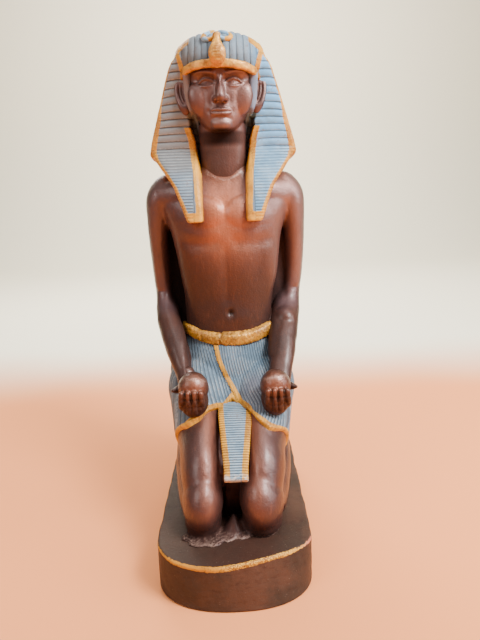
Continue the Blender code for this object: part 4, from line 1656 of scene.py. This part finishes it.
@dataclass(frozen=True)
class CobraHood(Sculpture):
    """The cobra's ribbed hood and head, which rear over the brow."""

    name: str = "cobra_hood"
    slot: Slot = Slot.GOLD
    voxel: float = 0.34
    middle: float = -0.8
    line: Rows = (
        (0, 9.4, 252.2, 2.4, 1.6), (0, 7.4, 254.0, 4.0, 2.4), (0, 6.9, 256.8, 4.9, 2.6),
        (0, 7.2, 259.8, 4.5, 2.4), (0, 8.0, 262.6, 2.9, 2.1), (0, 8.8, 265.0, 2.1, 1.9),
        (0, 9.0, 267.0, 2.4, 2.1),
    )

    def model(self) -> Clay:
        """Models the hood and head."""
        clay = Clay()
        clay.limb(self.line, sides=24)
        return clay

    def carve(self, skin: Skin) -> None:
        """Cuts the ribs across the hood and sets it beside the middle."""
        ribs = hump(np.mod(skin.z, 1.5) - 0.75, 0.25) * step(np.abs(skin.x), 2.2, 1.4)
        ribs *= step(skin.z, 262, 260)
        skin.push(-0.16 * ribs * step(skin.normal[:, 1], -0.3, -0.7) + 0.10 * skin.waver(2.5, 17))
        skin.slide(self.middle)


@dataclass(frozen=True)
class CobraCoils(Sculpture):
    """The cobra's body, coiled to both sides behind the hood."""

    name: str = "cobra_coils"
    slot: Slot = Slot.BLUE
    voxel: float = 0.34
    ease: int = 2
    middle: float = -0.8
    line: Rows = (
        (1.6, 12.4, 267.0, 1.2, 1.2), (4.2, 12.4, 266.0, 1.3, 1.3), (7.0, 13.2, 266.6, 1.4, 1.4),
        (7.6, 15.6, 268.6, 1.4, 1.4), (4.0, 17.0, 270.6, 1.4, 1.4), (1.4, 19.0, 271.6, 1.2, 1.2),
    )

    def model(self) -> Clay:
        """Models a coil on each side."""
        clay = Clay()
        for side in SIDES:
            clay.limb(self.line, side, sides=18, level=True)
        return clay

    def carve(self, skin: Skin) -> None:
        """Sets the coils beside the middle and stores their patches of gold."""
        skin.slide(self.middle)
        skin.mark("gold", 0.6 * skin.waver(7.0, 15) + 0.1)


@dataclass(frozen=True)
class Kilt(Sculpture):
    """The pleated wrap over seat, lap and thighs; its left flap laps over the right one."""

    name: str = "kilt"
    slot: Slot = Slot.BLUE
    voxel: float = 0.74
    ease: int = 5
    pitch: float = 1.7
    border: float = 3.4
    slope: Row = (0.0, -0.892, -0.452)
    flap: Rows = (
        (18.4, -34, 32.4, 12.6, 16.4), (19.4, -23.0, 38.5, 13.8, 17.3), (19.8, -10, 45.4, 16.2, 18.5),
        (20.2, 6, 53.2, 19.2, 19.8), (21.0, 20, 60, 21.0, 21), (20.0, 44, 62, 19.0, 19),
    )
    hem: Table = (
        (-44, -4.5), (-36, -3.2), (-33.3, -2.2), (-27.5, 0.3), (-23.9, -0.4), (-18.1, -2.4), (-13.7, -7.1),
        (-5.6, -14.3), (0.4, -21.7), (5.3, -14.5), (10.5, -8.0), (13.8, -2.0), (17.6, 2.3), (22.1, 5.3),
        (26.1, 4.8), (29.8, 2.6), (34, -0.4), (44, -3.5),
    )
    waist: Rows = (
        (50, 38, 4, 70), (58, 41.4, 3, 70.5), (66, 42.4, 2.6, 70), (74, 41.0, 4, 67.5),
        (82, 37.6, 7, 62.5), (90, 33.4, 10, 58.0), (95.5, 31.2, 12.4, 56.0),
    )
    wrap: Rows = (
        (-11.0, 10.6, 91.0), (-10.2, 9.9, 86.4), (-7.9, 5.9, 77.6), (-3.1, 1.7, 67.5), (2.3, -5.4, 60.1),
        (5.3, -13.5, 58.8), (10.5, -19.4, 56.0),
    )

    def model(self) -> Clay:
        """Models flaps, seat, lap and waist."""
        clay = Clay()
        for side in SIDES:
            clay.limb(self.flap, side, sides=48, round_ends=False)
            clay.ball((17, 48, 60), (21, 21, 21), side=side)
        clay.limb(((0, -2, 51.6, 18, 9), (0, 8, 57, 26, 12.4), (0, 22, 66, 28, 18)), sides=40)
        clay.levels(self.waist, sides=64)
        return clay

    def carve(self, skin: Skin) -> None:
        """Trims the hem, raises the lapping flap, and stores the pleats and gold borders."""
        slope = step(np.abs(skin.x), 13, 33) * step(skin.y, -4, -18) * np.clip(skin.z / 34, 0, 1)
        skin.slide(up=-2.6 * slope)
        x, y, z = skin.x.copy(), skin.y.copy(), skin.z.copy()
        past_hem = skin.place @ np.array(self.slope) - along(x, self.hem)
        front = step(y, 34, 26)
        down = -0.66 * y - 0.75 * z
        rows = sorted((-0.66 * row[1] - 0.75 * row[2], row[0]) for row in smooth_rows(self.wrap))
        edge_x = np.interp(down, [row[0] for row in rows], [row[1] for row in rows])
        lapping = (x > edge_x) & (y < 34)
        edge_gap = skin.gap(self.wrap)
        on_front = (front > 0.5) & (down < rows[-1][0] + 1)
        depth = -2.7 * step(past_hem, 0.0, 0.9)
        depth += 0.55 * lapping * step(edge_gap, 0.0, 0.7) * step(edge_gap, 14, 6) * on_front
        depth -= 0.35 * ~lapping * hump(edge_gap, 0.8) * on_front
        skin.push(depth + 0.10 * skin.waver(14, 21) + 0.05 * skin.waver(5, 22))
        tuck = 0.35 * step(past_hem, 0.9, 3.6) * step(y, 30, 20)
        heart = along(y, tuple((row[1], row[2]) for row in self.flap))
        skin.slide(across=(19 * np.sign(x) - skin.x) * tuck, up=(heart - skin.z) * tuck)
        around = np.arctan2(x, 34.0 - y) * 34.0
        left = np.where(edge_gap < 60, 0.55 * edge_gap + 0.45 * (x + 12) * 1.12, x)
        right = x * 0.93 - 0.30 * np.clip(88 - z, 0, 40) * step(x, -34, -8) - 30
        face = np.where(lapping, left, right)
        fan = np.sign(x) * (53.4 - 32.0 * (math.pi / 2 - np.arctan2(112.0 - z, 34.0 - y)))
        turned = np.where(y < 34, fan, around) - 15 * self.pitch * (x < 0)
        beside = np.where(y < 34, step(np.abs(x), 30, 39), 1.0)
        phase = (face * (1 - beside) + turned * beside) / self.pitch
        skin.mark("phase", phase)
        skin.mark("pitch", self.pitch)
        skin.mark("soft", np.clip(0.28 + 0.28 * skin.waver(13, 23), 0, 0.8))
        narrow = 1 - 0.60 * step(np.abs(x), 18, 32)
        hem_gold = np.where(y < 30, self.border * narrow + past_hem, OUTSIDE)
        wrap_gold = np.where(on_front & lapping, self.border * 0.95 - edge_gap, OUTSIDE)
        skin.mark("gold", np.maximum(hem_gold, wrap_gold))
        # painted shade: the kilt takes the shaded blue, more on the figure's right
        skin.mark("side", 0.25 + 0.30 * step(x, 0, -34))
        skin.mark("blush", 0.35 * hump(np.hypot(x - 14, z - 66), 7) * step(y, 6, -4))


@dataclass(frozen=True)
class Belt(Sculpture):
    """The gold band that dips in front, its left end lapping over with a round tip."""

    name: str = "belt"
    slot: Slot = Slot.GOLD
    voxel: float = 0.56
    ease: int = 2
    centre_y: float = 33.8
    half_width: float = 30.6
    half_depth: float = 23.4
    front_z: float = 91.9
    rise: float = 5.2
    half_height: float = 3.3
    tip: float = -6.0
    section: Table = (
        (-1.0, -1.6), (-0.98, 0.6), (-0.86, 1.4), (0.0, 1.7), (0.86, 1.3), (0.98, 0.4), (1.0, -1.6),
    )

    def model(self) -> Clay:
        """Models the band from rings (share of the half height, growth) from its lower edge to its upper."""
        rings = []
        for height, grow in self.section:
            ring = []
            for x, y in oval(self.half_width + grow, self.half_depth + grow, 0.92, 0.92, 96):
                ring.append(Vector((x, self.centre_y + y, self.level(y) + height * self.half_height)))
            rings.append(ring)
        clay = Clay()
        clay.loft(rings)
        return clay

    def carve(self, skin: Skin) -> None:
        """Raises the lapping end and makes the band uneven."""
        level = skin.z - self.level(skin.y - self.centre_y)
        lapped = np.hypot(np.minimum(skin.x - self.tip - 4.2, 0), level * 0.98)
        over = step(lapped, 4.5, 3.7) * step(skin.y, 30, 24) * step(skin.normal[:, 1], 0.2, 0.0)
        groove = hump(lapped - 4.9, 0.35) * step(skin.x, 4, 0) * step(skin.y, 30, 24)
        skin.push(0.55 * over - 0.3 * groove + 0.16 * skin.waver(2.6, 31) + 0.10 * skin.waver(6, 32))

    def level(self, y: float | np.ndarray) -> float | np.ndarray:
        """The height of the belt's middle at a depth from its centre: it dips in front."""
        behind = np.clip((1 + y / self.half_depth) / 0.42, 0, 1)
        return self.front_z + self.rise * behind ** 0.8


@dataclass(frozen=True)
class Apron(Sculpture):
    """The striped panel that hangs from the kilt's crossing to between the knees."""

    name: str = "apron"
    slot: Slot = Slot.BLUE
    voxel: float = 0.40
    ease: int = 2
    pitch: float = 1.62
    border: float = 3.5
    slope: Row = (0.0, -0.872, -0.489)
    middle: float = 2.1
    line: Rows = (
        (2.1, -7, 55.6, 10.4, 1.5), (2.1, -13, 55.4, 10.4, 1.5), (2.1, -20.5, 53.2, 10.0, 1.5),
        (2.1, -35.6, 45.0, 8.4, 1.5), (2.1, -49.4, 37.3, 6.8, 1.5), (2.1, -57.0, 33.0, 6.5, 1.5),
    )
    widths: Table = (
        (-22.0, 10.4), (-16.4, 10.4), (-8.2, 10.0), (9.0, 8.4), (24.8, 6.8), (33.6, 6.5),
    )

    def model(self) -> Clay:
        """Models the panel."""
        clay = Clay()
        clay.limb(self.line, fullness=(0.25, 0.45), round_ends=False, sides=40)
        return clay

    def carve(self, skin: Skin) -> None:
        """Cuts the stripes and stores the borders and the chalky end."""
        down = skin.place @ np.array(self.slope)
        edge = along(down, self.widths) - np.abs(skin.x - self.middle)
        end = down.max() - down
        off = (np.mod(down / self.pitch, 1) - 0.5) * self.pitch
        top = step(skin.normal[:, 2], 0.2, 0.6)
        skin.push((-0.22 * hump(off, 0.30) + 0.06) * top + 0.05 * skin.waver(5, 41))
        skin.mark("phase", down / self.pitch)
        skin.mark("pitch", self.pitch)
        skin.mark("gold", self.border - edge)
        # painted shade: the apron takes some of the shaded blue all over
        skin.mark("side", 0.35)
        skin.mark("chalk", 0.8 * step(end + skin.waver(5, 42), 4.0, 1.5))


@dataclass(frozen=True)
class Plinth(Sculpture):
    """The oval-ended plinth with its brushed front edge."""

    name: str = "plinth"
    length: float = 164.0
    width: float = 85.0
    height: float = 26.0
    round: float = 1.2
    curve_depth: float = 29.0
    fullness: float = 0.85
    rise: float = 0.01
    curve_points: int = 84
    straight_points: int = 30
    wall_rings: int = 18
    insets: Row = (38, 26, 18, 12, 8, 5.5, 4, 3, 2.3, 1.7)
    bevel_turns: tuple[Row, Row] = ((0.0, 0.35, 0.7, 1.0), (0.0, 0.25, 0.5, 0.75, 1.0))
    cut_back: Table = (
        (-16, 0.0), (-6, 1.0), (4, 3.2), (14, 5.4), (24, 6.4), (32, 5.8), (38, 4.0), (42.5, 1.0),
    )
    line_reach: Table = (
        (-40, 0.8), (-30, 1.3), (-16, 1.8), (0, 1.6), (15, 1.3), (30, 1.1), (42, 0.7),
    )

    @property
    def top(self) -> float:
        """The height of the top's outer edge, which lies a little below its middle."""
        return -self.rise * self.insets[0]

    def outline(self, inset: float, z: float) -> list[Vector]:
        """The outline, two half ovals joined by straight sides, drawn in by an inset, at a height.

        Args:
            inset: How far it is drawn in.
            z: Its height.

        Returns:
            Its points in order.
        """
        half_width = self.width / 2 - inset
        middle = self.length / 2 - self.curve_depth
        curve = max(self.curve_depth - inset, 1.0)
        ring = []
        for end in (1, -1):
            for i in range(self.straight_points):
                y = middle * (2 * i / self.straight_points - 1)
                ring.append(Vector((end * half_width, end * y, z)))
            for i in range(self.curve_points):
                angle = math.pi * i / self.curve_points
                across, ahead = math.cos(angle), math.sin(angle)
                x = half_width * math.copysign(abs(across) ** self.fullness, across)
                ring.append(Vector((end * x, end * (middle + curve * ahead ** self.fullness), z)))
        return ring

    def model(self) -> Clay:
        """Models the plinth from rings that run over its underside, side and top."""
        low, high = self.bevel_turns
        rings = [self.outline(inset, -self.height + self.rise * inset) for inset in self.insets[:4]]
        for turn in low:
            angle = turn * math.pi / 2
            inset = self.round * (1 - math.sin(angle))
            rings.append(self.outline(inset, -self.height + self.round * (1 - math.cos(angle))))
        for rise in np.linspace(2.2, self.height - 2.2, self.wall_rings):
            rings.append(self.outline(0, -self.height + rise))
        for turn in high:
            angle = turn * math.pi / 2
            inset = self.round * (1 - math.cos(angle))
            rings.append(self.outline(inset, self.top - self.round * (1 - math.sin(angle))))
        rings += [self.outline(inset, self.top + self.rise * inset) for inset in reversed(self.insets)]
        clay = Clay()
        clay.loft(rings)
        return clay

    def cast(self, clay: Clay) -> Skin:
        """Keeps the rings' own faces, which are fine enough for a plain shape."""
        return Skin(clay.harden())

    def carve(self, skin: Skin) -> None:
        """Cuts the front edge back on the figure's left and makes the side uneven."""
        lean = step(skin.y, -44, -64) * (skin.z + self.height) / self.height
        skin.slide(back=along(skin.x, self.cut_back) * lean)
        side = step(skin.z, -self.height + 0.2, -self.height + 3) * (skin.z < self.top - 0.05)
        skin.push((0.22 * skin.waver(16, 51) + 0.12 * skin.waver(5, 52) - 0.25) * side)
        self.mark_paint(skin)

    def mark_paint(self, skin: Skin) -> None:
        """Stores the gold line, its glitter and pink end, the painted shade by the knees and the grey painted
        shade on the figure's right side.
        """
        x, y, z = skin.x, skin.y, skin.z
        drop = np.where(z > -0.9, 0.0, -z - 0.9)
        inward = np.where(z > -0.9, self.inset_of(x, y), 0.0)
        reach = along(x, self.line_reach)
        front = step(y, -52, -60)
        skin.mark("rim", np.minimum(reach - drop, reach - inward) * front - 4.0 * (1 - front))
        skin.mark("glitter", step(x, -14, 2) * step(x, 42, 34))
        skin.mark("blush", 0.6 * step(x, 33, 40) * step(y, -48, -56))
        skin.mark("shade", 0.75 * (z > -0.5) * hump(x - 4, 26) * step(y, -30, -42))
        # painted shade: greyer toward the figure's right
        skin.mark("side", 0.6 * step(x, 5, -34))

    def inset_of(self, x: np.ndarray, y: np.ndarray) -> np.ndarray:
        """How far inside the outline's front a place on the top lies, nearly.

        Args:
            x: Places to the figure's left.
            y: Places backward.

        Returns:
            The distances, at most 60.
        """
        middle = -(self.length / 2 - self.curve_depth)
        bow = np.clip(1 - np.abs(x / (self.width / 2)) ** (2 / self.fullness), 0, 1) ** (self.fullness / 2)
        front = middle - self.curve_depth * bow + along(x, self.cut_back)
        return np.clip((y - front) * np.clip(bow, 0.3, 1), 0, 60)


# ---------------------------------------------------------------- studio


@dataclass(frozen=True)
class Lamp:
    """A square soft light that faces the statue's middle, or another target."""

    name: str
    place: Row
    size: float
    watts: float
    colour: Colour
    target: Row = (0.0, 0.0, 0.15)

    def add(self) -> None:
        """Adds the light."""
        light = bpy.data.objects.new(self.name, bpy.data.lights.new(self.name, "AREA"))
        light.data.size = self.size
        light.data.energy = self.watts
        light.data.color = self.colour
        facing = (Vector(self.target) - Vector(self.place)).to_track_quat("-Z", "Y")
        light.matrix_world = Matrix.Translation(self.place) @ facing.to_matrix().to_4x4()
        bpy.context.scene.collection.objects.link(light)


@dataclass(frozen=True)
class Studio:
    """The floor, backdrop, lights and camera."""

    camera_place: Row = (0.0064, -0.285, 0.1995)
    tilt: float = 13.1
    yaw: float = -0.12
    roll: float = -1.9
    lens: float = 27.0
    nearest: float = 0.01
    floor_half_width: float = 7.0
    floor_front: float = -5.6
    floor_length: float = 7.0
    sweep_radius: float = 0.7
    sky: Row = (1.0, 0.98, 0.96, 1.0)
    sky_strength: float = 0.24
    lamps: tuple[Lamp, ...] = (
        Lamp("key", (0.46, -0.34, 0.76), 0.28, 14.5, (1.0, 0.98, 0.96)),
        Lamp("fill", (-0.60, -0.45, 0.60), 0.40, 3.2, (1.0, 0.98, 0.95)),
        Lamp("window", (0.72, -0.22, 0.45), 0.45, 5.5, (0.97, 0.98, 1.0)),
        Lamp("top", (0.0, -0.15, 0.95), 0.60, 3.5, (1.0, 0.98, 0.96)),
        Lamp("back", (-0.25, 0.75, 0.75), 0.50, 6.0, (1.0, 0.98, 0.95)),
        Lamp("backdrop", (0.0, 0.70, 1.30), 0.80, 60.0, (1.0, 0.96, 0.88), (0.0, 2.0, 0.4)),
    )

    def build(self) -> None:
        """Sets up the whole studio."""
        self.add_floor()
        self.add_camera()
        self.add_world()
        for lamp in self.lamps:
            lamp.add()

    def add_floor(self) -> None:
        """Adds the floor, swept up into a backdrop far behind."""
        sweep = bmesh.new()
        bmesh.ops.create_grid(sweep, x_segments=2, y_segments=40, size=1.0)
        for vert in sweep.verts:
            along_floor = (vert.co.y + 1) / 2
            turn = min(max((along_floor - 0.55) / 0.25, 0), 1) * math.pi / 2
            flat = self.floor_length * min(along_floor, 0.55) / 0.55
            y = self.floor_front + flat + self.sweep_radius * math.sin(turn)
            z = self.sweep_radius * (1 - math.cos(turn)) + 8.0 * max(along_floor - 0.8, 0)
            vert.co = (vert.co.x * self.floor_half_width, y, z)
        mesh = bpy.data.meshes.new("studio_floor")
        sweep.to_mesh(mesh)
        sweep.free()
        for polygon in mesh.polygons:
            polygon.use_smooth = True
        mesh.materials.append(StudioPaint().make())
        floor = bpy.data.objects.new("studio_floor", mesh)
        bpy.context.scene.collection.objects.link(floor)

    def add_camera(self) -> None:
        """Adds the camera at the photograph's viewing angle."""
        camera = bpy.data.objects.new("camera", bpy.data.cameras.new("camera"))
        camera.data.lens = self.lens
        camera.data.clip_start = self.nearest
        base = Euler((math.radians(90 - self.tilt), 0, math.radians(self.yaw))).to_matrix()
        turned = base @ Matrix.Rotation(math.radians(self.roll), 3, "Z")
        camera.matrix_world = Matrix.Translation(self.camera_place) @ turned.to_4x4()
        bpy.context.scene.collection.objects.link(camera)
        bpy.context.scene.camera = camera

    def add_world(self) -> None:
        """Fills the room with soft light."""
        world = bpy.data.worlds.new("studio")
        world.use_nodes = True
        background = world.node_tree.nodes["Background"]
        background.inputs["Color"].default_value = self.sky
        background.inputs["Strength"].default_value = self.sky_strength
        bpy.context.scene.world = world


def main() -> None:
    """Builds the statue's looks piece by piece, then the studio."""
    logging.basicConfig(level=logging.INFO, format="%(message)s")
    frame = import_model()
    Studio().build()
    shelter = Shelter().measure(frame["nodes"][NODE])
    LOG.info("shelter measured on %d places", len(shelter.shares))
    bronze = BronzePaint().make()
    # the head's bronze is a lighter copy, as painted light on the brightly lit face
    face = BronzePaint("bronze_face_painted_light", body=(0.150, 0.066, 0.050), dull=(0.120, 0.060, 0.048))
    # the legs' dark is lighter, so their painted shade and dark wash between the knees are less black
    legs = BronzePaint("bronze_legs", stroke=(520.0, 120.0, 160.0), deep=(0.032, 0.012, 0.008))
    # the kilt's and apron's blues are darker copies, as painted shade
    headdress = ClothPaint("headdress_cloth", across_gold=0.3, light=0.95)
    kilt = ClothPaint("kilt_cloth", groove_width=0.42, across_gold=0.25, wear=0.6, light=0.46)
    apron = ClothPaint("apron_cloth", groove_width=0.42, across_gold=0.7, wear=0.9, light=0.85)
    gold = GoldPaint().make()
    belt = GoldPaint("belt_gold", dirt=0.85, gold=(0.520, 0.230, 0.018), ochre=(0.280, 0.110, 0.010))
    Trunk().build(shelter, bronze)
    Head().build(shelter, face.make())
    Hand("right_hand_with_jar", side=-1).build(shelter, bronze)
    Hand("left_hand_with_jar", side=1).build(shelter, bronze)
    Legs().build(shelter, legs.make())
    Headdress().build(shelter, headdress.make())
    BrowBand().build(shelter, gold)
    CobraHood().build(shelter, gold)
    CobraCoils().build(shelter, ClothPaint("coil_paint").make())
    Kilt().build(shelter, kilt.make())
    Belt().build(shelter, belt.make())
    Apron().build(shelter, apron.make())
    Plinth().build(shelter, PlinthPaint().make())


if __name__ == "__main__":
    main()
